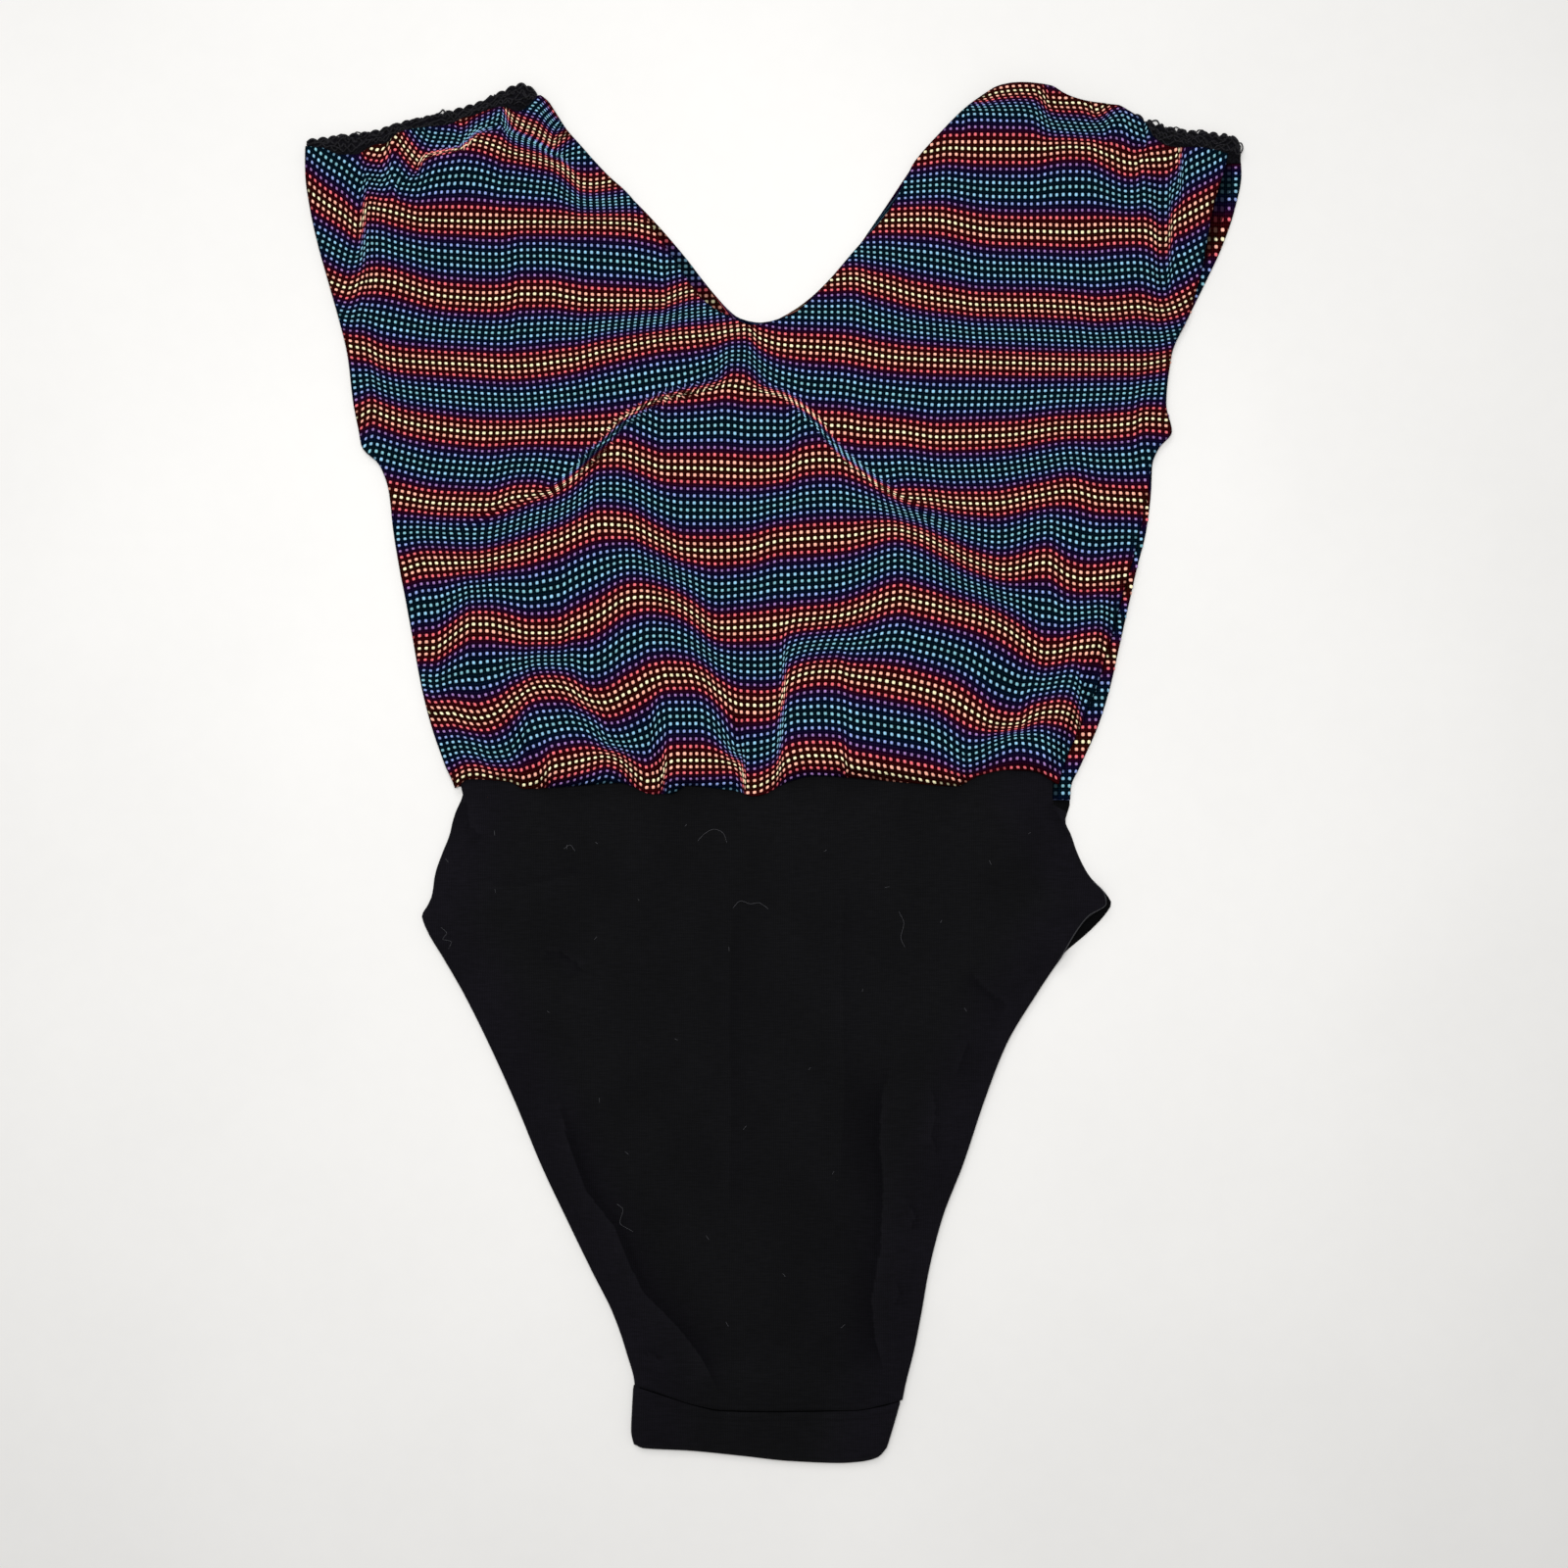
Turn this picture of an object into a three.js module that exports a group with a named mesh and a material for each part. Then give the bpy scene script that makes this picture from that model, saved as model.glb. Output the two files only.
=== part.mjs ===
import * as THREE from 'three';

// A leotard laid flat, front panel up. Sizes are millimetres: X runs across the garment, Y from
// the crotch to the shoulders, and Z rises from the surface that the back panel lies on.

// Walls, and the clearances between neighbouring pieces: layers, and edges that meet at a seam
const CLOTH = 1.2;
const SEAM_GAP = 0.3;
const EDGE_GAP = 0.5;
const BAND_CLOTH = 2.0;
const LACE_WALL = 1.2;

// Heights of the upper faces where the layers lie on each other
const BACK_TOP = CLOTH;
const FRONT_REST = BACK_TOP + SEAM_GAP + CLOTH;
const LACE_TOP = BACK_TOP + SEAM_GAP + LACE_WALL;
const OVER_SEAM = Math.max(LACE_TOP, FRONT_REST) + SEAM_GAP + CLOTH + 0.2;

// Loft of the cloth between its edges, and how far from an edge it takes to rise
const BODICE_LOFT = 4.5;
const SIDE_RISE = 26;
const NECK_RISE = 20;
const WAIST_RISE = 8;
const BRIEF_LOFT = 2.4;
const BRIEF_RISE = 20;
const SEAM_LIFT_RUN = 12;

// Turned leg hem, and the roll where the back wraps round the right side
const HEM_WIDTH = 5.5;
const HEM_RAISE = 0.5;
const ROLL_RAISE = 2.6;
const ARMHOLE_HEM_WIDTH = 4.5;
const ARMHOLE_HEM_RAISE = 1.0;

// Elastic lace
const LACE_UNDER = 2.5;
const SCALLOP_PITCH = 5.4;
const SCALLOP_DEPTH = 0.9;
const LACE_BEAD = 0.6;

// Sections across the bodice: the left edge, and the right edges of the front and back panels.
// The front stops short of the back at the open right armhole and beside the wrapped side seam.
const bodiceSections = [
  { y: 319, left: -238.5, frontRight: 231.5, backRight: 237.8 },
  { y: 306, left: -238.8, frontRight: 228.6, backRight: 238.8 },
  { y: 288, left: -236.5, frontRight: 223.3, backRight: 235.4 },
  { y: 269, left: -232.3, frontRight: 219.8, backRight: 229.0 },
  { y: 250, left: -227.0, frontRight: 216.4, backRight: 220.2 },
  { y: 234, left: -222.5, frontRight: 212.0, backRight: 212.4 },
  { y: 213, left: -217.3, frontRight: 202.7, backRight: 203.1 },
  { y: 188, left: -214.3, frontRight: 200.0, backRight: 200.4 },
  { y: 174, left: -211.5, frontRight: 202.9, backRight: 203.3 },
  { y: 166, left: -210.0, frontRight: 196.4, backRight: 196.8 },
  { y: 157, left: -201.0, frontRight: 192.6, backRight: 193.2 },
  { y: 144, left: -196.3, frontRight: 191.0, backRight: 192.6 },
  { y: 124, left: -194.0, frontRight: 186.8, backRight: 190.2 },
  { y: 104, left: -190.8, frontRight: 181.8, backRight: 185.3 },
  { y: 84, left: -186.9, frontRight: 176.0, backRight: 180.8 },
  { y: 64, left: -183.3, frontRight: 170.8, backRight: 176.3 },
  { y: 44, left: -179.6, frontRight: 164.8, backRight: 171.8 },
  { y: 24, left: -174.6, frontRight: 156.6, backRight: 165.6 },
  { y: 4, left: -167.5, frontRight: 147.8, backRight: 156.8 },
  { y: -8, left: -162.3, frontRight: 144.8, backRight: 151.6 },
  { y: -16, left: -161.0, frontRight: 144.0, backRight: 151.2 },
];

// Sections across the brief: the left edge, and the right edges of the front and back panels
const briefSections = [
  { y: 3, left: -156.0, frontRight: 143.5, backRight: 151.0 },
  { y: -7, left: -159.4, frontRight: 142.2, backRight: 151.2 },
  { y: -12, left: -158.4, frontRight: 142.0, backRight: 151.2 },
  { y: -17, left: -160.6, frontRight: 142.8, backRight: 151.0 },
  { y: -20, left: -162.0, frontRight: 149.2, backRight: 150.0 },
  { y: -25, left: -163.6, frontRight: 148.2, backRight: 148.8 },
  { y: -32, left: -165.2, frontRight: 151.2, backRight: 151.7 },
  { y: -41, left: -168.8, frontRight: 154.3, backRight: 154.8 },
  { y: -53, left: -172.8, frontRight: 160.4, backRight: 161.0 },
  { y: -62, left: -174.0, frontRight: 168.6, backRight: 169.4 },
  { y: -67, left: -175.8, frontRight: 169.4, backRight: 172.3 },
  { y: -73, left: -179.3, frontRight: 160.4, backRight: 168.8 },
  { y: -81, left: -176.5, frontRight: 154.0, backRight: 161.2 },
  { y: -94, left: -168.8, frontRight: 146.4, backRight: 146.7 },
  { y: -112, left: -158.4, frontRight: 134.6, backRight: 134.9 },
  { y: -138, left: -145.4, frontRight: 118.9, backRight: 119.2 },
  { y: -168, left: -131.8, frontRight: 107.1, backRight: 107.4 },
  { y: -200, left: -118.6, frontRight: 96.4, backRight: 96.7 },
  { y: -228, left: -105.4, frontRight: 85.6, backRight: 85.9 },
  { y: -255, left: -92.3, frontRight: 78.7, backRight: 79.0 },
  { y: -276, left: -81.8, frontRight: 75.0, backRight: 75.3 },
  { y: -295, left: -75.2, frontRight: 71.3, backRight: 71.6 },
  { y: -314, left: -70.6, frontRight: 66.6, backRight: 66.9 },
  { y: -327, left: -70.6, frontRight: 64.2, backRight: 64.5 },
];

// Sections across the crotch bands
const bandSections = [
  { y: -313, left: -71.2, right: 66.4 },
  { y: -326, left: -71.9, right: 62.8 },
  { y: -336, left: -72.3, right: 59.9 },
  { y: -344, left: -70.6, right: 57.4 },
  { y: -352, left: -68.6, right: 54.0 },
];

// Edges that run across the garment, from left to right
const frontShoulderLeft = [
  { x: -238.5, y: 319 }, { x: -229.8, y: 318 }, { x: -221.8, y: 314.5 }, { x: -211.8, y: 314.5 },
  { x: -206.8, y: 319 }, { x: -195.8, y: 325.5 }, { x: -179.8, y: 331 }, { x: -162.3, y: 335.5 },
  { x: -138.8, y: 340.5 }, { x: -129.8, y: 337.5 }, { x: -123.3, y: 342 }, { x: -119.8, y: 345 },
];
const frontNeck = [
  { x: -104.8, y: 326.5 }, { x: -84.8, y: 304.5 }, { x: -74.8, y: 295.5 }, { x: -62.8, y: 279.5 },
  { x: -49.8, y: 260 }, { x: -39.8, y: 245 }, { x: -33.8, y: 239 }, { x: -24.8, y: 233.5 },
  { x: -9.8, y: 228 }, { x: 2, y: 231 }, { x: 10.3, y: 234 }, { x: 20.3, y: 242.5 },
  { x: 40.3, y: 265 }, { x: 60.3, y: 288.5 }, { x: 65.3, y: 297.5 }, { x: 70.3, y: 309 },
  { x: 85.3, y: 326.5 }, { x: 105.3, y: 343.5 }, { x: 115.3, y: 349 },
];
const frontShoulderRight = [
  { x: 125.3, y: 350 }, { x: 140.3, y: 348.5 }, { x: 149.8, y: 343.5 }, { x: 165.3, y: 340.5 },
  { x: 175.3, y: 340 }, { x: 180.3, y: 337.5 }, { x: 190.3, y: 330 }, { x: 193.5, y: 323.5 },
  { x: 203, y: 318.5 }, { x: 215.3, y: 318 }, { x: 231.5, y: 313.5 },
];
const backNeck = [
  { x: -118, y: 342 }, { x: -104.8, y: 326.5 }, { x: -84.8, y: 304.5 }, { x: -74.8, y: 295.5 },
  { x: -61.8, y: 282 }, { x: -49.3, y: 268 }, { x: -36, y: 251 }, { x: -29.8, y: 242 },
  { x: -22.8, y: 234 }, { x: -9.8, y: 227.6 }, { x: 2, y: 230.6 }, { x: 10.3, y: 233.6 },
  { x: 20.3, y: 242.1 }, { x: 40.3, y: 264.6 }, { x: 60.3, y: 288.1 }, { x: 65.3, y: 297.1 },
  { x: 70.3, y: 308.6 }, { x: 85.3, y: 326 }, { x: 105.3, y: 341 }, { x: 122, y: 343 },
];
const laceLeftEdge = [
  { x: -238.3, y: 321.5 }, { x: -220, y: 324.2 }, { x: -205, y: 326.2 }, { x: -190, y: 331 },
  { x: -170, y: 335.6 }, { x: -150, y: 341.6 }, { x: -140, y: 346.4 }, { x: -128, y: 351 },
  { x: -121, y: 346.8 },
];
const laceRightEdge = [
  { x: 124, y: 344 }, { x: 145, y: 340 }, { x: 165, y: 336.5 }, { x: 179, y: 337.6 },
  { x: 190.8, y: 332.4 }, { x: 206, y: 328.2 }, { x: 225, y: 326 }, { x: 234, y: 324.4 },
  { x: 238.2, y: 320.5 },
];
const frontWaist = [
  { x: -162.3, y: -8 }, { x: -154.8, y: -3.5 }, { x: -143, y: -4 }, { x: -134, y: -5 },
  { x: -127, y: -8.5 }, { x: -98, y: -6.8 }, { x: -78, y: -5.5 }, { x: -62, y: -11 },
  { x: -52, y: -11 }, { x: -44, y: -7 }, { x: -20, y: -9.5 }, { x: -10, y: -12 },
  { x: 9, y: -4.5 }, { x: 20, y: -2 }, { x: 69, y: -5.5 }, { x: 93, y: -7.2 },
  { x: 105, y: -1.5 }, { x: 118, y: 1 }, { x: 131, y: 0.5 }, { x: 144.8, y: -6 },
];
const backWaist = [{ x: -162, y: -7 }, { x: 151.2, y: -14 }];
const crotchSeam = [
  { x: -70.6, y: -313 }, { x: -52.3, y: -319 }, { x: -39.3, y: -323 }, { x: -26.8, y: -325.5 },
  { x: -4.8, y: -326 }, { x: 40.3, y: -325.4 }, { x: 53.3, y: -323.5 }, { x: 66, y: -320 },
];
const bandHem = [
  { x: -70.8, y: -342.6 }, { x: -66.3, y: -344.5 }, { x: -43.3, y: -345.7 }, { x: -17.8, y: -348.2 },
  { x: 8.3, y: -351 }, { x: 33.8, y: -352 }, { x: 44.3, y: -351.3 }, { x: 53.3, y: -349 },
  { x: 57.2, y: -344.5 },
];

// Folds of the front bodice. Each runs from "from" through "via" to "to", stands "rise" above the
// loft (or sinks below it), and falls off over "leftRun" and "rightRun" as seen walking along it.
// An open fold keeps its height at the edge of the cloth.
const bodiceFolds = [
  { name: 'bust drape left', from: [-20, 204], via: [-85, 174], to: [-186, 114],
    rise: 6, leftRun: 13, rightRun: 30 },
  { name: 'bust drape right', from: [4, 200], via: [42, 166], to: [128, 100],
    rise: 6, leftRun: 30, rightRun: 13 },
  { name: 'under the drape', from: [-120, 120], via: [-8, 178], to: [60, 118],
    rise: -2, leftRun: 24, rightRun: 16 },
  { name: 'below the neck', from: [-10, 234], via: [-16, 212], to: [-21, 190],
    rise: 2.4, leftRun: 7, rightRun: 7 },
  { name: 'neck pleat upper', from: [-6, 232], via: [-66, 240], to: [-136, 244],
    rise: 3, leftRun: 7, rightRun: 16 },
  { name: 'neck pleat lower', from: [-8, 226], via: [-64, 214], to: [-120, 206],
    rise: 2.2, leftRun: 7, rightRun: 12 },
  { name: 'left armhole tuck', from: [-207, 318], via: [-210, 276], to: [-211, 240],
    rise: -3, leftRun: 7, rightRun: 10 },
  { name: 'left armhole ridge', from: [-193, 322], via: [-200, 276], to: [-202, 232],
    rise: 4.5, leftRun: 22, rightRun: 8 },
  { name: 'right armhole tuck', from: [200, 318], via: [199, 276], to: [200, 240],
    rise: -3, leftRun: 8, rightRun: 8 },
  { name: 'right armhole ridge', from: [188, 312], via: [190, 276], to: [191, 238],
    rise: 4, leftRun: 8, rightRun: 20 },
  { name: 'left shoulder bulge', from: [-184, 306], via: [-141, 330], to: [-92, 296],
    rise: 5.5, leftRun: 9, rightRun: 22 },
  { name: 'left shoulder pocket', from: [-222, 316], via: [-214, 308], to: [-208, 298],
    rise: -2, leftRun: 8, rightRun: 8 },
  { name: 'left shoulder rib', from: [-198, 328], via: [-189, 319], to: [-180, 308],
    rise: 3, leftRun: 7, rightRun: 7 },
  { name: 'neck strip hollow', from: [-124, 336], via: [-106, 318], to: [-86, 296],
    rise: -2.2, leftRun: 7, rightRun: 8 },
  { name: 'right shoulder roll', from: [86, 320], via: [124, 350], to: [152, 334],
    rise: 5, leftRun: 14, rightRun: 14, open: true },
  { name: 'right shoulder hollow', from: [138, 344], via: [148, 328], to: [178, 324],
    rise: -3, leftRun: 7, rightRun: 9 },
  { name: 'right shoulder gather', from: [144, 341], via: [158, 340], to: [172, 336],
    rise: 3, leftRun: 7, rightRun: 7, open: true },
  { name: 'right shoulder rib', from: [174, 344], via: [178, 330], to: [180, 312],
    rise: 4, leftRun: 7, rightRun: 9 },
  { name: 'open armhole edge', from: [236, 322], via: [223, 290], to: [214, 240],
    rise: 5.5, leftRun: 16, rightRun: 16, open: true },
  { name: 'blouse over the waist', from: [-200, 10], via: [0, 14], to: [190, 14],
    rise: 4, leftRun: 30, rightRun: 14 },
  { name: 'gather 1', from: [-176, 112], via: [-135, 61], to: [-70, -38],
    rise: 5.5, leftRun: 8, rightRun: 16 },
  { name: 'hollow 1', from: [-180, 66], via: [-155, 28], to: [-112, -44],
    rise: -3, leftRun: 9, rightRun: 9 },
  { name: 'hollow 2', from: [-130, 84], via: [-85, 35], to: [-44, -44],
    rise: -4, leftRun: 9, rightRun: 9 },
  { name: 'gather 2', from: [-92, 142], via: [-59, 69], to: [-34, -54],
    rise: 5.5, leftRun: 9, rightRun: 17 },
  { name: 'hollow 3', from: [-28, 124], via: [-13, 54], to: [-10, -54],
    rise: -4.5, leftRun: 9, rightRun: 9 },
  { name: 'gather 3', from: [74, 132], via: [48, 64], to: [22, -54],
    rise: 5.5, leftRun: 26, rightRun: 12 },
  { name: 'step by gather 3', from: [10, 82], via: [6, 36], to: [3, -54],
    rise: 2.4, leftRun: 12, rightRun: 7 },
  { name: 'hollow 4', from: [112, 116], via: [130, 54], to: [80, -44],
    rise: -4, leftRun: 10, rightRun: 10 },
  { name: 'gather 4', from: [174, 110], via: [158, 54], to: [118, -38],
    rise: 5, leftRun: 9, rightRun: 10 },
  { name: 'gather 5', from: [-178, 52], via: [-165, 14], to: [-148, -44],
    rise: 3, leftRun: 7, rightRun: 7 },
];

// Soft creases of the front brief, and its open right leg
const briefFolds = [
  { name: 'left diagonal', from: [-112, -172], via: [-76, -240], to: [-22, -318],
    rise: 1.6, leftRun: 8, rightRun: 14 },
  { name: 'left diagonal hollow', from: [-100, -176], via: [-60, -242], to: [-12, -314],
    rise: -1, leftRun: 9, rightRun: 9 },
  { name: 'right upright', from: [66, -148], via: [56, -224], to: [58, -312],
    rise: 1.4, leftRun: 9, rightRun: 12 },
  { name: 'left hip hollow', from: [-132, -84], via: [-112, -96], to: [-94, -104],
    rise: -0.9, leftRun: 14, rightRun: 14 },
  { name: 'right hip hollow', from: [96, -104], via: [112, -112], to: [124, -124],
    rise: -0.9, leftRun: 12, rightRun: 12 },
  { name: 'waist pinch', from: [-156, -16], via: [-152, -26], to: [-156, -40],
    rise: 1.6, leftRun: 6, rightRun: 6 },
  { name: 'open leg edge', from: [176, -58], via: [158, -76], to: [140, -102],
    rise: 3.6, leftRun: 12, rightRun: 12, open: true },
];

// Smooth curve through points [t, value] with t rising, with no overshoot between them
function smoothCurve(points) {
  const secant = points.slice(1).map((p, i) => (p[1] - points[i][1]) / (p[0] - points[i][0]));
  const slope = points.map((p, i) => {
    const before = secant[Math.max(0, i - 1)];
    const after = secant[Math.min(secant.length - 1, i)];
    return before * after <= 0 ? 0 : (2 * before * after) / (before + after);
  });
  return (t) => {
    const last = points.length - 1;
    if (t <= points[0][0]) return points[0][1];
    if (t >= points[last][0]) return points[last][1];
    const i = points.findIndex((p) => p[0] > t) - 1;
    const span = points[i + 1][0] - points[i][0];
    const s = (t - points[i][0]) / span;
    const rise = points[i + 1][1] - points[i][1];
    const bend = slope[i] * span * s * (1 - s) * (1 - s) - slope[i + 1] * span * s * s * (1 - s);
    return points[i][1] + rise * s * s * (3 - 2 * s) + bend;
  };
}

function sideCurve(sections, key) {
  return smoothCurve(sections.map((row) => [row.y, row[key]]).reverse());
}

function smoothStep(value) {
  const t = Math.min(1, Math.max(0, value));
  return t * t * (3 - 2 * t);
}

function mix(a, b, t) {
  return a + (b - a) * t;
}

function evenSteps(from, to, count) {
  return Array.from({ length: count + 1 }, (_, i) => mix(from, to, i / count));
}

// Height that one fold adds at a point
const FOLD_SAMPLES = 16;
function foldLine(fold) {
  const bend = fold.via.map((v, k) => 2 * v - (fold.from[k] + fold.to[k]) / 2);
  const curve = new THREE.QuadraticBezierCurve(
    new THREE.Vector2(...fold.from), new THREE.Vector2(...bend), new THREE.Vector2(...fold.to));
  return { ...fold, line: curve.getPoints(FOLD_SAMPLES) };
}

function nearestOnLine(line, x, y) {
  let best = { distance: Infinity, side: 1, along: 0 };
  for (let i = 0; i + 1 < line.length; i += 1) {
    const dx = line[i + 1].x - line[i].x;
    const dy = line[i + 1].y - line[i].y;
    const s = Math.min(1, Math.max(0,
      ((x - line[i].x) * dx + (y - line[i].y) * dy) / (dx * dx + dy * dy)));
    const offX = x - (line[i].x + dx * s);
    const offY = y - (line[i].y + dy * s);
    const distance = Math.hypot(offX, offY);
    if (distance < best.distance) {
      best = { distance, side: Math.sign(dx * offY - dy * offX), along: (i + s) / (line.length - 1) };
    }
  }
  return best;
}

function foldHeight(fold, x, y) {
  const near = nearestOnLine(fold.line, x, y);
  const run = near.side > 0 ? fold.leftRun : fold.rightRun;
  const fade = smoothStep(near.along / 0.2) * smoothStep((1 - near.along) / 0.2);
  return fold.rise * fade * Math.exp(-((near.distance / run) ** 2));
}

// Grid of a panel: its columns share out each section, and its rows run between two edges
function edgeByShare(edge, left, right) {
  return smoothCurve(edge.map((p) => [(p.x - left(p.y)) / (right(p.y) - left(p.y)), p.y]));
}

function panelGrid({ left, right, top, bottom, shares, rows, height }) {
  const topByShare = edgeByShare(top, left, right);
  const bottomByShare = edgeByShare(bottom, left, right);
  return rows.map((v) => {
    const middle = mix(topByShare(0.5), bottomByShare(0.5), v);
    return shares(right(middle) - left(middle)).map((u) => {
      const y = mix(topByShare(u), bottomByShare(u), v);
      const x = mix(left(y), right(y), u);
      return new THREE.Vector3(x, y, height(x, y));
    });
  });
}

// Closed wall between a grid of outer points and the inner points that "inner" gives for them
function wallGeometry(grid, inner) {
  const rows = grid.length;
  const columns = grid[0].length;
  const at = (j, i) => grid[Math.min(rows - 1, Math.max(0, j))][Math.min(columns - 1, Math.max(0, i))];
  const outerPoints = grid.flat();
  const innerPoints = outerPoints.map((point, k) => {
    const j = Math.floor(k / columns);
    const i = k % columns;
    const across = at(j, i + 1).clone().sub(at(j, i - 1));
    const down = at(j + 1, i).clone().sub(at(j - 1, i));
    return inner(point, down.cross(across).normalize());
  });
  const index = (j, i) => j * columns + i;
  const under = outerPoints.length;
  const faces = [];
  for (let j = 0; j + 1 < rows; j += 1) {
    for (let i = 0; i + 1 < columns; i += 1) {
      const [a, b, c, d] = [index(j, i), index(j, i + 1), index(j + 1, i + 1), index(j + 1, i)];
      faces.push(a, d, c, a, c, b);
      faces.push(a + under, c + under, d + under, a + under, b + under, c + under);
    }
  }
  const rim = [];
  for (let i = 0; i + 1 < columns; i += 1) rim.push(index(0, i));
  for (let j = 0; j + 1 < rows; j += 1) rim.push(index(j, columns - 1));
  for (let i = columns - 1; i > 0; i -= 1) rim.push(index(rows - 1, i));
  for (let j = rows - 1; j > 0; j -= 1) rim.push(index(j, 0));
  rim.forEach((p, k) => {
    const q = rim[(k + 1) % rim.length];
    faces.push(p, q, q + under, p, q + under, p + under);
  });
  const geometry = new THREE.BufferGeometry();
  const positions = [...outerPoints, ...innerPoints].flatMap((p) => [p.x, p.y, p.z]);
  geometry.setAttribute('position', new THREE.Float32BufferAttribute(positions, 3));
  geometry.setIndex(faces);
  geometry.computeVertexNormals();
  return geometry;
}

function innerByCloth(point, normal) {
  return point.clone().addScaledVector(normal, -CLOTH);
}

function innerFlat(z) {
  return (point) => new THREE.Vector3(point.x, point.y, z);
}

function piece(name, geometry, finish) {
  const mesh = new THREE.Mesh(geometry, new THREE.MeshStandardMaterial(finish));
  mesh.name = name;
  return mesh;
}

const dottedKnit = { color: 0x2a2434, roughness: 0.85, metalness: 0 };
const blackJersey = { color: 0x101014, roughness: 0.95, metalness: 0 };
const blackLace = { color: 0x0c0c0f, roughness: 0.8, metalness: 0 };

const bodiceLeft = sideCurve(bodiceSections, 'left');
const bodiceFrontRight = sideCurve(bodiceSections, 'frontRight');
const bodiceBackRight = sideCurve(bodiceSections, 'backRight');
const briefLeft = sideCurve(briefSections, 'left');
const briefFrontRight = sideCurve(briefSections, 'frontRight');
const briefBackRight = sideCurve(briefSections, 'backRight');
const bandLeft = sideCurve(bandSections, 'left');
const bandRight = sideCurve(bandSections, 'right');
const edgeCurve = (edge) => smoothCurve(edge.map((p) => [p.x, p.y]));
const edgeLine = (edge) => edge.map((p) => new THREE.Vector2(p.x, p.y));
const lowered = (edge, drop) => edge.map((p) => ({ x: p.x, y: p.y - drop }));

// Front bodice: lofted over the back, with its gathers, drape and the blouse over the waist
const folds = bodiceFolds.map(foldLine);
const shoulderLines = [edgeLine(frontShoulderLeft), edgeLine(frontShoulderRight)];
const neckLine = edgeLine([frontShoulderLeft.at(-1), ...frontNeck, frontShoulderRight[0]]);
const waistCurve = edgeCurve(frontWaist);

function frontBodiceHeight(x, y) {
  const side = Math.min(x - bodiceLeft(y), bodiceFrontRight(y) - x);
  const shoulder = Math.min(...shoulderLines.map((line) => nearestOnLine(line, x, y).distance));
  const neck = nearestOnLine(neckLine, x, y).distance;
  const waist = y - waistCurve(x);
  const loft = smoothStep(side / SIDE_RISE) * smoothStep(Math.min(shoulder, neck) / NECK_RISE)
    * smoothStep(0.15 + waist / WAIST_RISE);
  const rim = smoothStep(Math.min(side / 10, shoulder / 8, neck / 8, 0.3 + waist / 7));
  const seam = Math.max(1 - smoothStep((shoulder - 4) / SEAM_LIFT_RUN),
    1 - smoothStep((waist - 8) / SEAM_LIFT_RUN));
  const relief = folds.reduce(
    (sum, fold) => sum + foldHeight(fold, x, y) * (fold.open ? 1 : rim), BODICE_LOFT * loft);
  const base = mix(FRONT_REST + 0.1, OVER_SEAM, seam);
  return base + (relief + Math.hypot(relief, 0.6)) / 2;
}

const frontBodiceTop = [...frontShoulderLeft, ...frontNeck, ...frontShoulderRight];
const frontBodice = piece('front_bodice', wallGeometry(panelGrid({
  left: bodiceLeft,
  right: bodiceFrontRight,
  top: frontBodiceTop,
  bottom: frontWaist,
  shares: () => evenSteps(0, 1, 46),
  rows: [...evenSteps(0, 0.95, 26), 0.972, 0.988, 1],
  height: frontBodiceHeight,
}), innerByCloth), dottedKnit);

// Back bodice: flat underneath, rolled up beside the right side seam, hemmed at the open armhole
const ROLL_FACE = 0.25;
const ROLL_GAP = 0.8;
const ROLL_TOP = 118;
const SIDE_SEAM_TOP = 170;
const ARMHOLE_MOUTH_LOW = 250;
const ARMHOLE_MOUTH_HIGH = 296;
function backRightBand(y) {
  const strip = bodiceBackRight(y) - bodiceFrontRight(y) - ROLL_GAP;
  const rolled = smoothStep((ROLL_TOP - y) / 14);
  const hemmed = smoothStep((y - ARMHOLE_MOUTH_LOW) / 16) * smoothStep((ARMHOLE_MOUTH_HIGH - y) / 8);
  const hemRaise = ARMHOLE_HEM_RAISE * hemmed;
  return {
    width: y > SIDE_SEAM_TOP ? ARMHOLE_HEM_WIDTH : Math.max(strip, 0.6),
    raise: mix(hemRaise, ROLL_RAISE * smoothStep((strip - 0.6) / 2), rolled),
  };
}

function backBodiceHeight(x, y) {
  const inward = bodiceBackRight(y) - x;
  const { width, raise } = backRightBand(y);
  const rounded = Math.sqrt(Math.max(0, 1 - (1 - Math.min(1, inward / (width * 0.5))) ** 2));
  return BACK_TOP - 0.2 * (inward < 0.01 ? 1 : 0) + (inward < width + 0.01 ? raise * rounded : 0);
}

const backBodiceTop = [
  ...lowered(laceLeftEdge.slice(0, -1), 3), ...backNeck, ...lowered(laceRightEdge.slice(1), 3),
];
const backColumns = 36;
const backBodice = piece('back_bodice', wallGeometry(
  panelGrid({
    left: bodiceLeft,
    right: bodiceBackRight,
    top: backBodiceTop,
    bottom: backWaist,
    shares: () => evenSteps(0, 1, backColumns),
    rows: evenSteps(0, 1, 15),
    height: () => BACK_TOP,
  }).map((row) => {
    const { y } = row.at(-1);
    const { width } = backRightBand(y);
    const rollPoints = [width + ROLL_FACE, width, width * 0.5, width * 0.15, 0].map((inward) => {
      const x = bodiceBackRight(y) - inward;
      return new THREE.Vector3(x, y, backBodiceHeight(x, y));
    });
    const inner = row.slice(0, -1).filter((p, i) => i < backColumns - 1);
    return [...inner, ...rollPoints];
  }), innerFlat(0)), dottedKnit);

// Front brief: tucked under the blouse at the waist, with turned leg hems
const creases = briefFolds.map(foldLine);
const seamCurve = edgeCurve(crotchSeam);
const HIP = -70;

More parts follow.
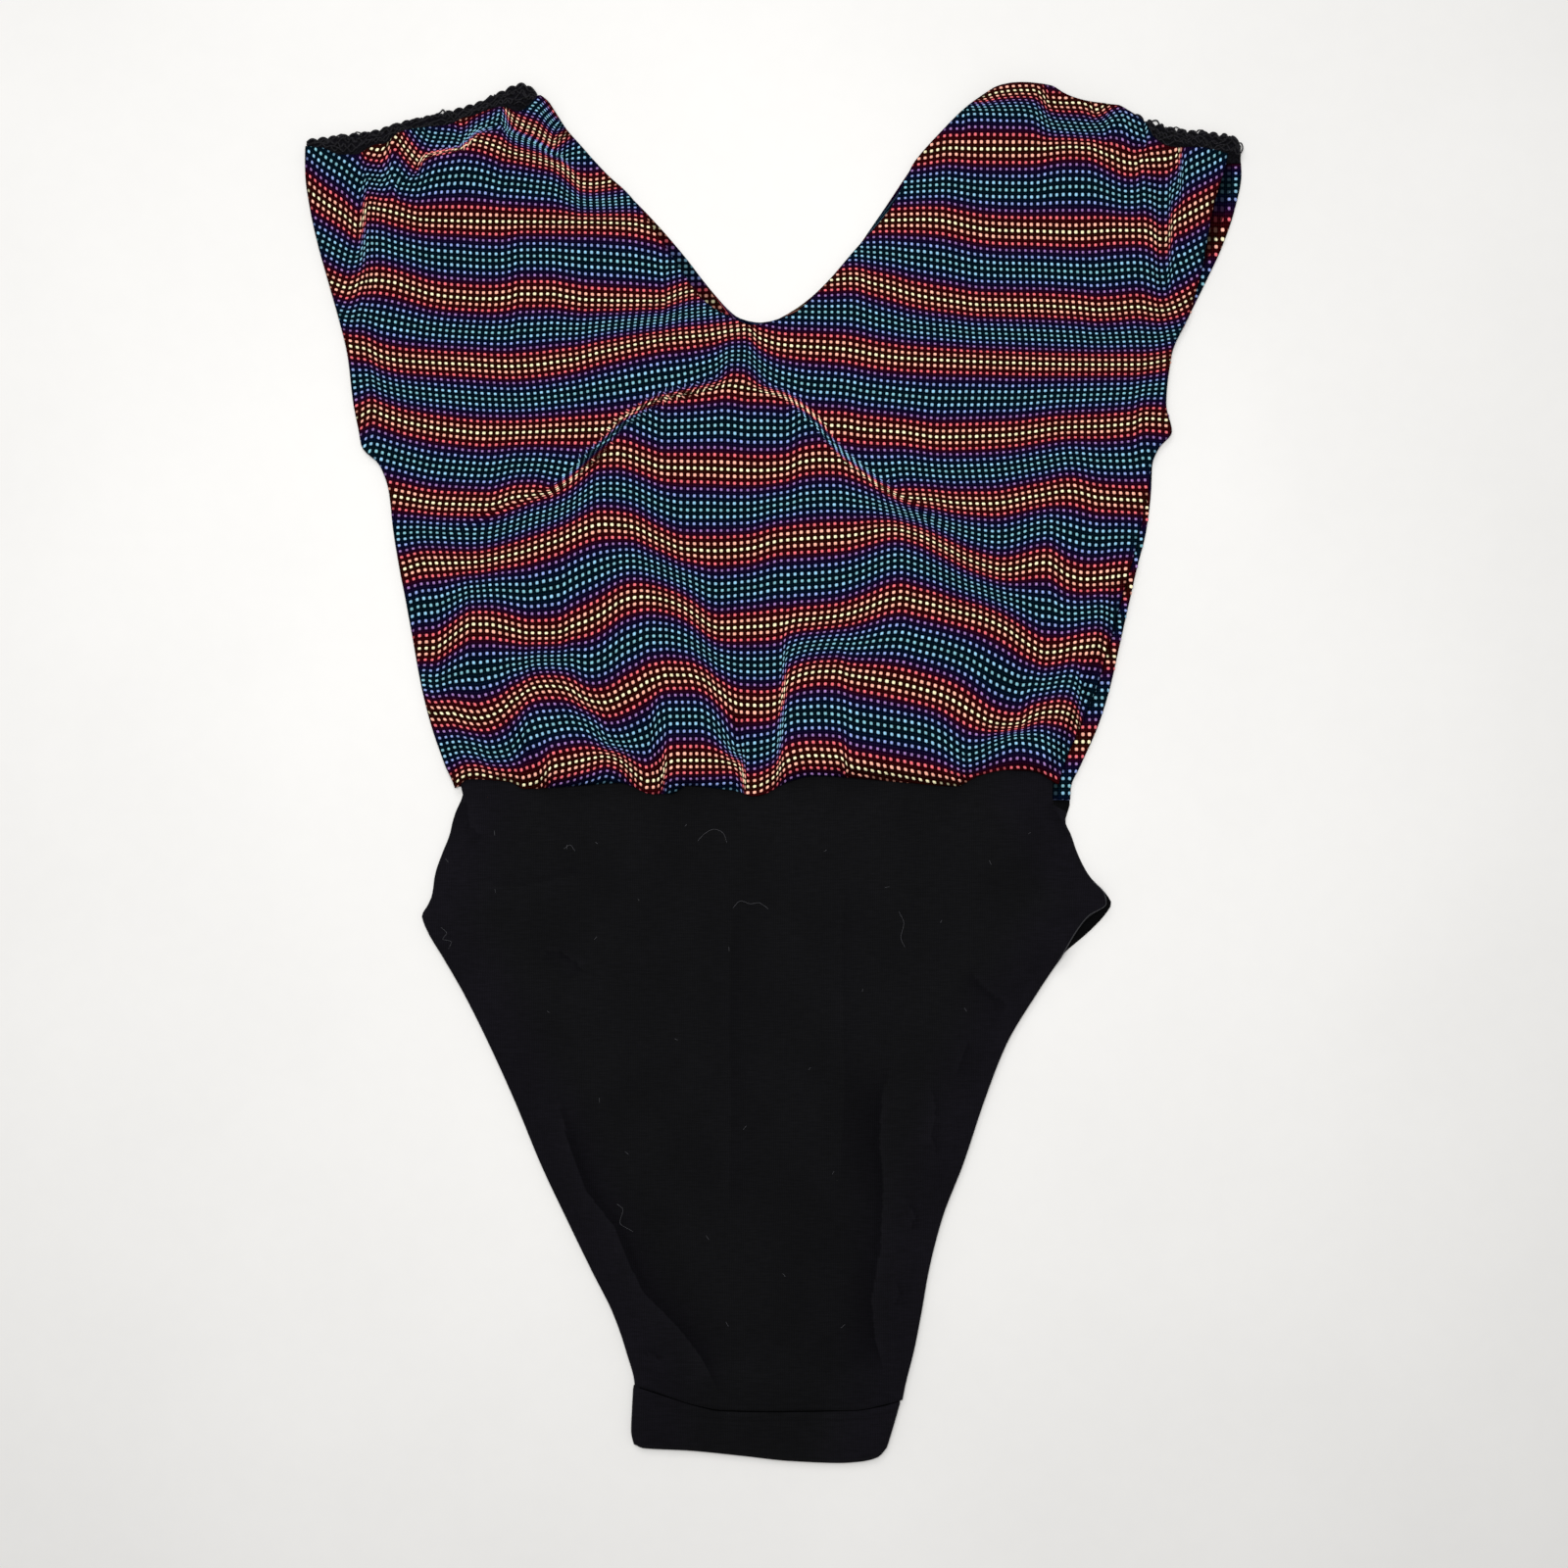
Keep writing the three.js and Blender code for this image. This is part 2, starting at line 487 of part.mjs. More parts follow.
function frontBriefHeight(x, y) {
  const side = Math.min(x - briefLeft(y), briefFrontRight(y) - x);
  const waist = -14 - y;
  const seam = y - seamCurve(x);
  const loft = smoothStep(side / BRIEF_RISE) * smoothStep(waist / BRIEF_RISE)
    * smoothStep(0.2 + seam / BRIEF_RISE);
  const rim = smoothStep(side / 10) * smoothStep(waist / 8);
  const hem = y < HIP ? HEM_RAISE * smoothStep((HEM_WIDTH + 0.8 - side) / 0.8) : 0;
  const relief = creases.reduce(
    (sum, crease) => sum + foldHeight(crease, x, y) * (crease.open ? 1 : rim), BRIEF_LOFT * loft);
  return FRONT_REST + 0.05 + hem + Math.max(0, relief);
}

function briefShares(width) {
  const hem = HEM_WIDTH / width;
  const step = (HEM_WIDTH + 1) / width;
  return [0, hem, step, ...evenSteps(step, 1 - step, 14).slice(1, -1), 1 - step, 1 - hem, 1];
}

const frontBrief = piece('front_brief', wallGeometry(panelGrid({
  left: briefLeft,
  right: briefFrontRight,
  top: [{ x: -156, y: 3 }, { x: 143.5, y: 3 }],
  bottom: crotchSeam,
  shares: briefShares,
  rows: [...evenSteps(0, 0.32, 13), ...evenSteps(0.32, 1, 12).slice(1)],
  height: frontBriefHeight,
}), innerByCloth), blackJersey);

// Back brief: flat on the surface, butted to the back bodice at the waist
const backBrief = piece('back_brief', wallGeometry(panelGrid({
  left: briefLeft,
  right: briefBackRight,
  top: lowered(backWaist, EDGE_GAP),
  bottom: crotchSeam,
  shares: () => evenSteps(0, 1, 8),
  rows: [...evenSteps(0, 0.32, 14), ...evenSteps(0.32, 1, 9).slice(1)],
  height: () => BACK_TOP,
}), innerFlat(0)), blackJersey);

// Crotch bands: doubled jersey, the front one on the back one
function band(name, bottomZ, edgeZ, middleZ) {
  const height = (x, y) => {
    const side = Math.min(x - bandLeft(y), bandRight(y) - x);
    return mix(edgeZ, middleZ, smoothStep(side / 5));
  };
  return piece(name, wallGeometry(panelGrid({
    left: bandLeft,
    right: bandRight,
    top: lowered(crotchSeam, EDGE_GAP),
    bottom: bandHem,
    shares: (width) => [0, 2 / width, ...evenSteps(5 / width, 1 - 5 / width, 10), 1 - 2 / width, 1],
    rows: evenSteps(0, 1, 4),
    height,
  }), innerFlat(bottomZ)), blackJersey);
}
const bandBack = band('crotch_band_back', 0, BAND_CLOTH - 0.4, BAND_CLOTH);
const bandFront = band('crotch_band_front', BAND_CLOTH + SEAM_GAP, 3.8, 2 * BAND_CLOTH + SEAM_GAP);

// Lace along a shoulder: a scalloped outer edge, a beaded middle, and a strip under the front
function lace(name, edge, shoulder, depthMin, beadFrom) {
  const outerY = edgeCurve(edge);
  const shoulderY = edgeCurve(shoulder);
  const first = edge[0].x;
  const last = edge.at(-1).x;
  const scallops = Math.round((last - first) / SCALLOP_PITCH);
  const stations = evenSteps(0, 1, scallops * 2);
  const underFront = (x) => Math.min(shoulderY(x) - LACE_UNDER, outerY(x) - depthMin);
  const grid = [0, 0.35, 0.75, 1].map((depth) => stations.map((s) => {
    const x = mix(first, last, s);
    const scallop = SCALLOP_DEPTH * Math.abs(Math.sin(Math.PI * scallops * s)) * (1 - depth) ** 2;
    const visible = smoothStep((x - beadFrom) / 6);
    const bead = depth > 0.1 && depth < 0.5 ? LACE_BEAD * visible : 0;
    return new THREE.Vector3(x, mix(outerY(x), underFront(x), depth) + scallop, LACE_TOP + bead);
  }));
  return piece(name, wallGeometry(grid, innerFlat(LACE_TOP - LACE_WALL)), blackLace);
}
const laceLeft = lace('shoulder_lace_left', laceLeftEdge, frontShoulderLeft, 4, -1000);
const laceRight = lace('shoulder_lace_right', laceRightEdge, frontShoulderRight, 7, 184);

const leotard = new THREE.Group();
leotard.add(frontBodice, backBodice, frontBrief, backBrief, bandFront, bandBack, laceLeft, laceRight);
export default leotard;
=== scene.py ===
"""A leotard laid flat on a pale floor, front panel up, seen from straight above.

Sizes are millimetres until a mesh is made. X runs across the garment, Y from the crotch to the
shoulders and Z up from the floor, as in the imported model.
"""

import math

import bpy
import numpy as np
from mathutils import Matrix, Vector


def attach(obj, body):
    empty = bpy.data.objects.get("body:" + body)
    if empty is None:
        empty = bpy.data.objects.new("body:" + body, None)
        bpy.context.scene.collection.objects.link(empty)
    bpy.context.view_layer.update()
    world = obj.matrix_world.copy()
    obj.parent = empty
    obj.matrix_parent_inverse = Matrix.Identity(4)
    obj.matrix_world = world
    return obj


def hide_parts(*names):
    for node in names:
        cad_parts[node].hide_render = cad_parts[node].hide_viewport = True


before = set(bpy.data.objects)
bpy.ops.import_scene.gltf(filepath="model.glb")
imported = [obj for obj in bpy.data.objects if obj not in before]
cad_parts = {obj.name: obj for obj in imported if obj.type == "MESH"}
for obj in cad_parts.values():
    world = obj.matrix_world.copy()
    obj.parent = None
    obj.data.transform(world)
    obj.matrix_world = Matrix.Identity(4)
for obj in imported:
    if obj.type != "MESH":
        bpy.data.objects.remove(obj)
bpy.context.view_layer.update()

MM = 0.001

# The camera comes first: straight above, at half a millimetre for each pixel of the photograph
PIXEL = 0.5
PHOTO_SIDE = 1600
PHOTO_MIDDLE = 800
ORIGIN_PIXEL_X = 789.5
ORIGIN_PIXEL_Y = 788.0
SENSOR = 36.0
CAMERA_HEIGHT = 1100.0
CLOTH_LEVEL = 3.0
FOLD_LEVEL = 6.0


def from_pixel(px, py):
    return (px - ORIGIN_PIXEL_X) * PIXEL, (ORIGIN_PIXEL_Y - py) * PIXEL


def from_pixels(points):
    return np.array([from_pixel(*point) for point in points])


def from_raised_pixel(px, py):
    """Place of a fold that stands above the cloth's level, where the camera sees it."""
    share = 1 - FOLD_LEVEL / CAMERA_HEIGHT
    x, y = from_pixel(px, py)
    return camera_x + (x - camera_x) * share, camera_y + (y - camera_y) * share


def seen_at(x, y, z):
    """Where the camera sees a point, carried down to the cloth's level."""
    share = CAMERA_HEIGHT / (CAMERA_HEIGHT + CLOTH_LEVEL - z)
    return camera_x + (x - camera_x) * share, camera_y + (y - camera_y) * share


camera_data = bpy.data.cameras.new("camera")
camera = bpy.data.objects.new("camera", camera_data)
bpy.context.scene.collection.objects.link(camera)
camera_x, camera_y = from_pixel(PHOTO_MIDDLE, PHOTO_MIDDLE)
camera.location = (camera_x * MM, camera_y * MM, (CAMERA_HEIGHT + CLOTH_LEVEL) * MM)
camera_data.sensor_width = SENSOR
camera_data.lens = SENSOR * CAMERA_HEIGHT / (PHOTO_SIDE * PIXEL)
camera_data.clip_end = 20
bpy.context.scene.camera = camera

# Walls and levels in millimetres, as in the solids
CLOTH = 1.2
SEAM_GAP = 0.3
EDGE_GAP = 0.5
BAND_CLOTH = 2.0
LACE_WALL = 1.2
BACK_TOP = CLOTH
FRONT_REST = BACK_TOP + SEAM_GAP + CLOTH
LACE_TOP = BACK_TOP + SEAM_GAP + LACE_WALL
OVER_SEAM = max(LACE_TOP, FRONT_REST) + SEAM_GAP + CLOTH + 0.2

# The loft of the front, and over what length it rises from each edge
BODICE_LOFT = 4.5
SIDE_RISE = 26.0
NECK_RISE = 20.0
WAIST_RISE = 8.0
BRIEF_LOFT = 2.4
BRIEF_RISE = 20.0
BRIEF_TOP = -14

# Folds reach their full height this far in from the side, the neck or shoulder, and the waist
FOLDS_FROM_SIDE = 10
FOLDS_FROM_TOP = 8
FOLDS_FROM_WAIST = 7
FINE_FROM_SIDE = 5
FINE_FROM_TOP = 4

# Shares of the loft and of the folds that are left at the waist and at the crotch seam
LOFT_AT_WAIST = 0.15
FOLDS_AT_WAIST = 0.3
LOFT_AT_SEAM = 0.2

# The front never touches what it lies on
BODICE_CLEARANCE = 0.1
BRIEF_CLEARANCE = 0.05
LEAST_RELIEF = 0.6

# Where the front lies over the lace and over the brief
SEAM_LIFT_RUN = 12.0
LACE_COVER = 4
WAIST_COVER = 8

# The hem of the leg opening, and the roll and hem of the back that show beside the front
HEM_WIDTH = 5.5
HEM_RAISE = 0.5
HEM_STEP = 0.8
ROLL_RAISE = 2.6
ARMHOLE_HEM_WIDTH = 4.5
ARMHOLE_HEM_RAISE = 1.0

# Sections of the bodice: y, left edge, right edge of the front, right edge of the back
BODICE_SECTIONS = [
    (319, -238.5, 231.5, 237.8), (306, -238.8, 228.6, 238.8), (288, -236.5, 223.3, 235.4),
    (269, -232.3, 219.8, 229.0), (250, -227.0, 216.4, 220.2), (234, -222.5, 212.0, 212.4),
    (213, -217.3, 202.7, 203.1), (188, -214.3, 200.0, 200.4), (174, -211.5, 202.9, 203.3),
    (166, -210.0, 196.4, 196.8), (157, -201.0, 192.6, 193.2), (144, -196.3, 191.0, 192.6),
    (124, -194.0, 186.8, 190.2), (104, -190.8, 181.8, 185.3), (84, -186.9, 176.0, 180.8),
    (64, -183.3, 170.8, 176.3), (44, -179.6, 164.8, 171.8), (24, -174.6, 156.6, 165.6),
    (4, -167.5, 147.8, 156.8), (-8, -162.3, 144.8, 151.6), (-16, -161.0, 144.0, 151.2),
]

# Sections of the brief, in the same order
BRIEF_SECTIONS = [
    (3, -156.0, 143.5, 151.0), (-7, -159.4, 142.2, 151.2), (-12, -158.4, 142.0, 151.2),
    (-17, -160.6, 142.8, 151.0), (-20, -162.0, 149.2, 150.0), (-25, -163.6, 148.2, 148.8),
    (-32, -165.2, 151.2, 151.7), (-41, -168.8, 154.3, 154.8), (-53, -172.8, 160.4, 161.0),
    (-62, -174.0, 168.6, 169.4), (-67, -175.8, 169.4, 172.3), (-73, -179.3, 160.4, 168.8),
    (-81, -176.5, 154.0, 161.2), (-94, -168.8, 146.4, 146.7), (-112, -158.4, 134.6, 134.9),
    (-138, -145.4, 118.9, 119.2), (-168, -131.8, 107.1, 107.4), (-200, -118.6, 96.4, 96.7),
    (-228, -105.4, 85.6, 85.9), (-255, -92.3, 78.7, 79.0), (-276, -81.8, 75.0, 75.3),
    (-295, -75.2, 71.3, 71.6), (-314, -70.6, 66.6, 66.9), (-327, -70.6, 64.2, 64.5),
]

# Sections of the crotch bands: y, left edge, right edge
BAND_SECTIONS = [
    (-313, -71.2, 66.4), (-326, -71.9, 62.8), (-336, -72.3, 59.9), (-344, -70.6, 57.4),
    (-352, -68.6, 54.0),
]

# Edges that run across the garment, from left to right
FRONT_SHOULDER_LEFT = [
    (-238.5, 319), (-229.8, 318), (-221.8, 314.5), (-211.8, 314.5), (-206.8, 318),
    (-202.8, 319.8), (-197.3, 320), (-193.8, 324.2), (-187.8, 327), (-179.8, 328.3),
    (-169.8, 329.3), (-163.3, 330.2), (-159.8, 333), (-153.8, 334.2), (-147.8, 336.5),
    (-138.8, 339), (-129.8, 336.5), (-123.3, 341), (-119.8, 345),
]
FRONT_NECK = [
    (-104.8, 326.5), (-84.8, 304.5), (-74.8, 295.5), (-62.8, 279.5), (-49.8, 260),
    (-39.8, 245), (-33.8, 239), (-24.8, 233.5), (-9.8, 228), (2, 231), (10.3, 234),
    (20.3, 242.5), (40.3, 265), (60.3, 288.5), (65.3, 297.5), (70.3, 309), (85.3, 326.5),
    (105.3, 343.5), (115.3, 349),
]
FRONT_SHOULDER_RIGHT = [
    (125.3, 350), (140.3, 348.5), (149.8, 343.5), (165.3, 340.5), (175.3, 340),
    (180.3, 337.5), (190.3, 330), (193.5, 323.5), (203, 318.5), (215.3, 318), (231.5, 313.5),
]
BACK_NECK = [
    (-118, 342), (-104.8, 326.5), (-84.8, 304.5), (-74.8, 295.5), (-61.8, 282), (-49.3, 268),
    (-36, 251), (-29.8, 242), (-22.8, 234), (-9.8, 227.6), (2, 230.6), (10.3, 233.6),
    (20.3, 242.1), (40.3, 264.6), (60.3, 288.1), (65.3, 297.1), (70.3, 308.6), (85.3, 326),
    (105.3, 341), (122, 343),
]
LACE_LEFT_EDGE = [
    (-238.3, 323), (-220, 325.4), (-205, 327.4), (-190, 332), (-170, 336.6), (-150, 342.4),
    (-140, 347.2), (-128, 351.8), (-121, 347.4),
]
LACE_RIGHT_EDGE = [
    (124, 344), (145, 340), (165, 336.5), (179, 337.6), (190.8, 332.4), (206, 328.2),
    (225, 326), (234, 324.4), (238.2, 320.5),
]
FRONT_WAIST = [
    (-162.3, -8), (-154.8, -3.5), (-143, -4), (-134, -5), (-127, -8.5), (-98, -6.8),
    (-78, -5.5), (-62, -11), (-52, -11), (-44, -7), (-20, -9.5), (-10, -12), (9, -4.5),
    (20, -2), (69, -5.5), (93, -7.2), (105, -1.5), (118, 1), (131, 0.5), (144.8, -6),
]
BACK_WAIST = [(-162, -7), (151.2, -14)]
CROTCH_SEAM = [
    (-70.6, -313), (-52.3, -319), (-39.3, -323), (-26.8, -325.5), (-4.8, -326),
    (40.3, -325.4), (53.3, -323.5), (66, -320),
]
BAND_HEM = [
    (-70.8, -342.6), (-66.3, -344.5), (-43.3, -345.7), (-17.8, -348.2), (8.3, -351),
    (33.8, -352), (44.3, -351.3), (53.3, -349), (57.2, -344.5),
]

# Folds: from, through, to, rise, fall-off on the left and on the right as seen walking along
BODICE_FOLDS = [
    ((-120, 120), (-8, 178), (60, 118), -2.0, 24, 16),
    ((-12, 230), (-18, 214), (-25, 203), 3.4, 2.2, 9),
    ((-6, 232), (-66, 240), (-136, 244), 3.0, 4, 16),
    ((-8, 226), (-64, 214), (-120, 206), 2.2, 4.5, 12),
    ((-207, 318), (-210, 276), (-211, 240), -3.0, 5, 8),
    ((-193, 322), (-200, 276), (-202, 232), 4.5, 22, 6),
    ((200, 318), (199, 276), (200, 240), -3.0, 6, 6),
    ((188, 312), (190, 276), (191, 238), 4.0, 5.5, 20),
    ((-150, 316), (-128, 314), (-100, 294), 2.0, 14, 14),
    ((-222, 316), (-214, 308), (-208, 298), -2.0, 6, 6),
    ((-198, 328), (-189, 319), (-180, 308), 3.0, 4.5, 5),
    ((-124, 336), (-106, 318), (-86, 296), -2.2, 4, 8),
    ((138, 344), (148, 328), (178, 324), -3.0, 4.5, 8),
    ((174, 344), (178, 330), (180, 312), 4.0, 4.5, 7),
    ((-200, 10), (0, 14), (190, 14), 4.0, 30, 14),
    ((-176, 112), (-135, 61), (-70, -38), 5.5, 5.5, 16),
    ((-180, 66), (-155, 28), (-112, -44), -3.0, 8, 8),
    ((-130, 84), (-85, 35), (-44, -44), -4.0, 8, 8),
    ((-92, 142), (-59, 69), (-34, -54), 5.5, 6, 17),
    ((-28, 124), (-13, 54), (-10, -54), -4.5, 8, 8),
    ((74, 132), (48, 64), (22, -54), 5.5, 26, 9),
    ((7, 82), (5.5, 40), (4, -26), 3.6, 12, 1.8),
    ((-66, 40), (-58.5, 16), (-55, -12), 2.8, 9, 1.8),
    ((-140, 32), (-122, 12), (-115, -10), 2.8, 9, 1.8),
    ((-35, 52), (-20, 20), (-15, -16), 2.6, 1.8, 10),
    ((-104, 46), (-84, 21), (-66, -12), 2.8, 2.4, 11),
    ((82, 24), (93, 8), (97, -12), 2.2, 2.2, 10),
    ((112, 116), (130, 54), (80, -44), -4.0, 9, 9),
    ((174, 110), (158, 54), (118, -38), 5.0, 8, 8),
    ((-178, 52), (-165, 14), (-148, -44), 3.0, 5, 5),
]

# The front hangs over in a pouch at the bust, whose edge runs down both ways, in pixels
DRAPE_LEFT = [(748, 384), (740, 384), (700, 394), (672, 401), (655, 411), (640, 421), (629, 430),
              (617, 444), (605, 456), (591, 471), (577, 484), (560, 498), (510, 515),
              (450, 545), (400, 575)]
DRAPE_RIGHT = [(748, 384), (760, 388), (801, 397), (815, 407), (829, 419), (840, 430),
               (848, 443), (864, 461), (882, 475), (899, 489), (921, 503), (940, 515),
               (960, 531), (980, 545), (1000, 555), (1040, 574)]
# The cloth of the left shoulder bulges over itself along this edge
SHOULDER_ROLL = [(424, 176), (427, 166), (432, 159), (440, 155), (456, 152), (470, 149),
                 (477, 142), (484, 134), (496, 130), (512, 130), (528, 132), (544, 139),
                 (558, 148), (572, 158), (584, 170), (596, 186)]
# Rolled edges: line, side that is steep (1 on the left, walking along), rise, steep and easy
# run, and the share of the height at the start
ROLLED_EDGES = [
    (DRAPE_LEFT, 1, 2.8, 3.4, 27.0, 0.55),
    (DRAPE_RIGHT, -1, 2.8, 3.4, 27.0, 0.55),
    (SHOULDER_ROLL, 1, 4.2, 1.8, 15.0, 0.0),
]

# Creases of the brief beside the leg openings
CREASE_LEFT = [(566, 1100), (574, 1140), (586, 1180), (598, 1212), (629, 1252), (644, 1290),
               (656, 1316), (692, 1352), (716, 1384), (737, 1425)]
CREASE_RIGHT = [(910, 1075), (900, 1120), (897, 1160), (901, 1210), (898, 1273), (889, 1325),
                (893, 1366), (903, 1404)]
BRIEF_ROLLED_EDGES = [
    (CREASE_LEFT, 1, 2.4, 2.2, 10.0, 0.0),
    (CREASE_RIGHT, -1, 2.2, 2.6, 9.0, 0.0),
]

# Painted shade beside creases and soft hollows of the brief, painted light on their other side:
# line, dark side, depth, dark and light run
PAINTED_CREASE_SHADES = [
    (CREASE_LEFT, 1, 0.9, 7.0, 5.0),
    (CREASE_RIGHT, -1, 0.75, 12.0, 5.0),
    ([(548, 976), (560, 970), (574, 972), (588, 982), (596, 992)], -1, 0.6, 3.5, 3.0),
    ([(990, 988), (1000, 1004), (1014, 1016), (1030, 1024)], -1, 0.6, 6.0, 3.0),
    ([(974, 1096), (982, 1080), (988, 1062)], -1, 0.5, 4.0, 3.0),
    ([(958, 1186), (950, 1160), (955, 1130), (950, 1108)], -1, 0.5, 3.0, 3.0),
    ([(926, 1226), (934, 1240), (928, 1256)], 1, 0.6, 3.0, 2.0),
    ([(912, 1304), (918, 1318), (912, 1332)], 1, 0.5, 3.0, 2.0),
    ([(654, 1384), (666, 1380), (674, 1388)], 1, 0.6, 2.5, 2.0),
    ([(470, 812), (478, 826), (480, 842), (496, 856)], -1, 0.5, 6.0, 3.0),
    ([(748, 900), (744, 1010), (746, 1130), (744, 1250)], 1, 0.25, 9.0, 6.0),
    ([(862, 880), (858, 980), (862, 1100), (856, 1220)], 1, 0.2, 9.0, 7.0),
    ([(486, 900), (530, 904), (600, 890)], 1, 0.25, 6.0, 5.0),
    ([(1073, 812), (1078, 828), (1086, 840), (1091, 856)], -1, 0.6, 4.0, 3.0),
]

# Folds that keep their height at the edge of the cloth
OPEN_BODICE_FOLDS = [
    ((86, 320), (124, 350), (152, 334), 5.0, 14, 14),
    ((144, 341), (158, 340), (172, 336), 3.0, 5, 6),
    ((236, 322), (223, 290), (214, 240), 5.5, 16, 16),
]

# Finer creases that only the cloth itself has
BODICE_CREASES = [
    ((-190, 122), (-176, 110), (-150, 104), 1.0, 3, 4),
    ((-192, 98), (-180, 86), (-164, 78), 0.9, 3, 4),
    ((-186, 74), (-174, 62), (-158, 56), 0.8, 3, 4),
    ((-120, 68), (-108, 44), (-92, 18), 0.9, 3, 5),
    ((-64, 34), (-56, 14), (-50, -8), 1.0, 3, 4),
    ((-82, 26), (-76, 10), (-70, -8), 0.8, 3, 3),
    ((-26, 46), (-22, 20), (-24, -10), 0.9, 3, 4),
    ((24, 40), (20, 16), (18, -6), 0.9, 3, 4),
    ((60, 34), (54, 14), (52, -8), 0.8, 3, 4),
    ((88, 36), (82, 14), (84, -8), 0.8, 3, 3),
    ((118, 34), (108, 14), (104, -6), 0.9, 3, 4),
    ((-146, 26), (-138, 12), (-134, -6), 0.8, 3, 3),
    ((-118, 14), (-112, 4), (-110, -10), 0.8, 2.5, 3),
    ((-100, 10), (-96, 2), (-96, -9), 0.7, 2.5, 3),
    ((8, 10), (8, 2), (6, -8), 0.8, 2.5, 3),
    ((40, 12), (38, 4), (38, -6), 0.7, 2.5, 3),
    ((70, 10), (68, 2), (68, -7), 0.7, 2.5, 3),
    ((126, 14), (124, 6), (122, -2), 0.8, 2.5, 3),
    ((-24, 226), (-50, 224), (-84, 226), 0.9, 3, 5),
    ((26, 214), (60, 206), (100, 204), 0.7, 4, 6),
    ((-60, 190), (-88, 196), (-124, 196), 0.8, 4, 7),
    ((60, 196), (110, 190), (160, 196), 0.7, 5, 8),
    ((150, 230), (170, 226), (196, 230), 0.8, 4, 6),
    ((150, 170), (172, 176), (194, 172), 0.8, 4, 6),
    ((-190, 178), (-170, 172), (-140, 172), 0.8, 4, 6),
    ((146, 150), (168, 140), (186, 144), 0.8, 4, 6),
    ((150, 116), (166, 108), (178, 96), 0.8, 3, 5),
    ((100, 330), (110, 338), (124, 342), 0.7, 3, 3),
    ((152, 338), (154, 330), (150, 322), 0.7, 2.5, 3),
    ((160, 338), (163, 330), (162, 322), 0.7, 2.5, 3),
    ((168, 337), (171, 329), (171, 320), 0.7, 2.5, 3),
    ((-170, 330), (-172, 324), (-176, 318), 0.7, 2.5, 3),
    ((-158, 334), (-160, 328), (-164, 322), 0.7, 2.5, 3),
    ((-146, 337), (-148, 331), (-152, 326), 0.7, 2.5, 3),
]

BRIEF_FOLDS = [
    ((-100, -176), (-62, -242), (-16, -314), -0.9, 7, 7),
    ((48, -160), (50, -224), (48, -300), -0.8, 7, 7),
    ((86, -176), (82, -184), (78, -192), 0.9, 2.5, 3),
    ((72, -214), (69, -222), (68, -230), -0.8, 2.5, 3),
    ((70, -228), (66, -236), (66, -244), 0.8, 2.5, 3),
    ((-122, -88), (-108, -92), (-96, -104), -0.8, 3, 5),
    ((104, -106), (112, -112), (122, -114), -0.7, 3, 5),
    ((-132, -84), (-112, -96), (-94, -104), -0.9, 14, 14),
    ((96, -104), (112, -112), (124, -124), -0.9, 12, 12),
    ((-156, -16), (-152, -26), (-156, -40), 1.6, 5, 5),
    ((84, -180), (72, -200), (66, -236), 0.8, 4, 6),
    ((-134, -22), (-120, -30), (-100, -34), 0.7, 5, 8),
    ((112, -20), (118, -34), (132, -48), 0.8, 5, 8),
    ((-166, -60), (-150, -66), (-132, -68), 0.7, 5, 7),
    ((160, -62), (146, -68), (128, -74), 0.8, 5, 7),
    ((-60, -300), (-30, -306), (10, -304), 0.6, 5, 7),
    ((-128, -150), (-120, -164), (-116, -184), 0.6, 4, 5),
    ((-108, -196), (-100, -214), (-92, -232), 0.6, 4, 5),
    ((-40, -16), (-36, -32), (-38, -52), 0.6, 7, 7),
    ((40, -16), (46, -34), (44, -56), 0.5, 7, 7),
    ((142, -12), (145, -21), (151, -34), 1.1, 3, 4),
]
OPEN_BRIEF_FOLDS = [((176, -58), (158, -76), (140, -102), 3.6, 12, 12)]

# Where the cloth of the back lifts off the floor between its gathers, seen from below
BACK_FOLDS = [
    ((-150, 108), (-118, 50), (-92, -6), 1.6, 6, 9),
    ((-112, 96), (-84, 44), (-66, -6), 1.4, 6, 8),
    ((-62, 118), (-48, 54), (-36, -6), 1.7, 7, 10),
    ((-14, 96), (-8, 42), (-6, -8), 1.4, 7, 7),
    ((34, 122), (30, 56), (24, -8), 1.7, 9, 6),
    ((80, 100), (66, 44), (54, -8), 1.4, 8, 6),
    ((128, 112), (108, 48), (90, -8), 1.5, 8, 6),
    ((-150, 206), (-80, 186), (10, 192), 1.1, 10, 8),
    ((30, 190), (90, 178), (150, 196), 1.1, 9, 8),
    ((-170, 268), (-120, 250), (-80, 252), 1.0, 8, 8),
    ((96, 262), (140, 246), (186, 262), 1.0, 8, 8),
]
BACK_BRIEF_FOLDS = [
    ((-90, -120), (-40, -132), (10, -128), 1.0, 8, 8),
    ((-60, -190), (-16, -200), (40, -192), 1.0, 9, 8),
    ((90, -90), (84, -130), (64, -168), 0.9, 7, 7),
    ((-120, -60), (-104, -100), (-92, -140), 0.9, 7, 7),
    ((-30, -240), (2, -252), (34, -246), 0.9, 7, 8),
]


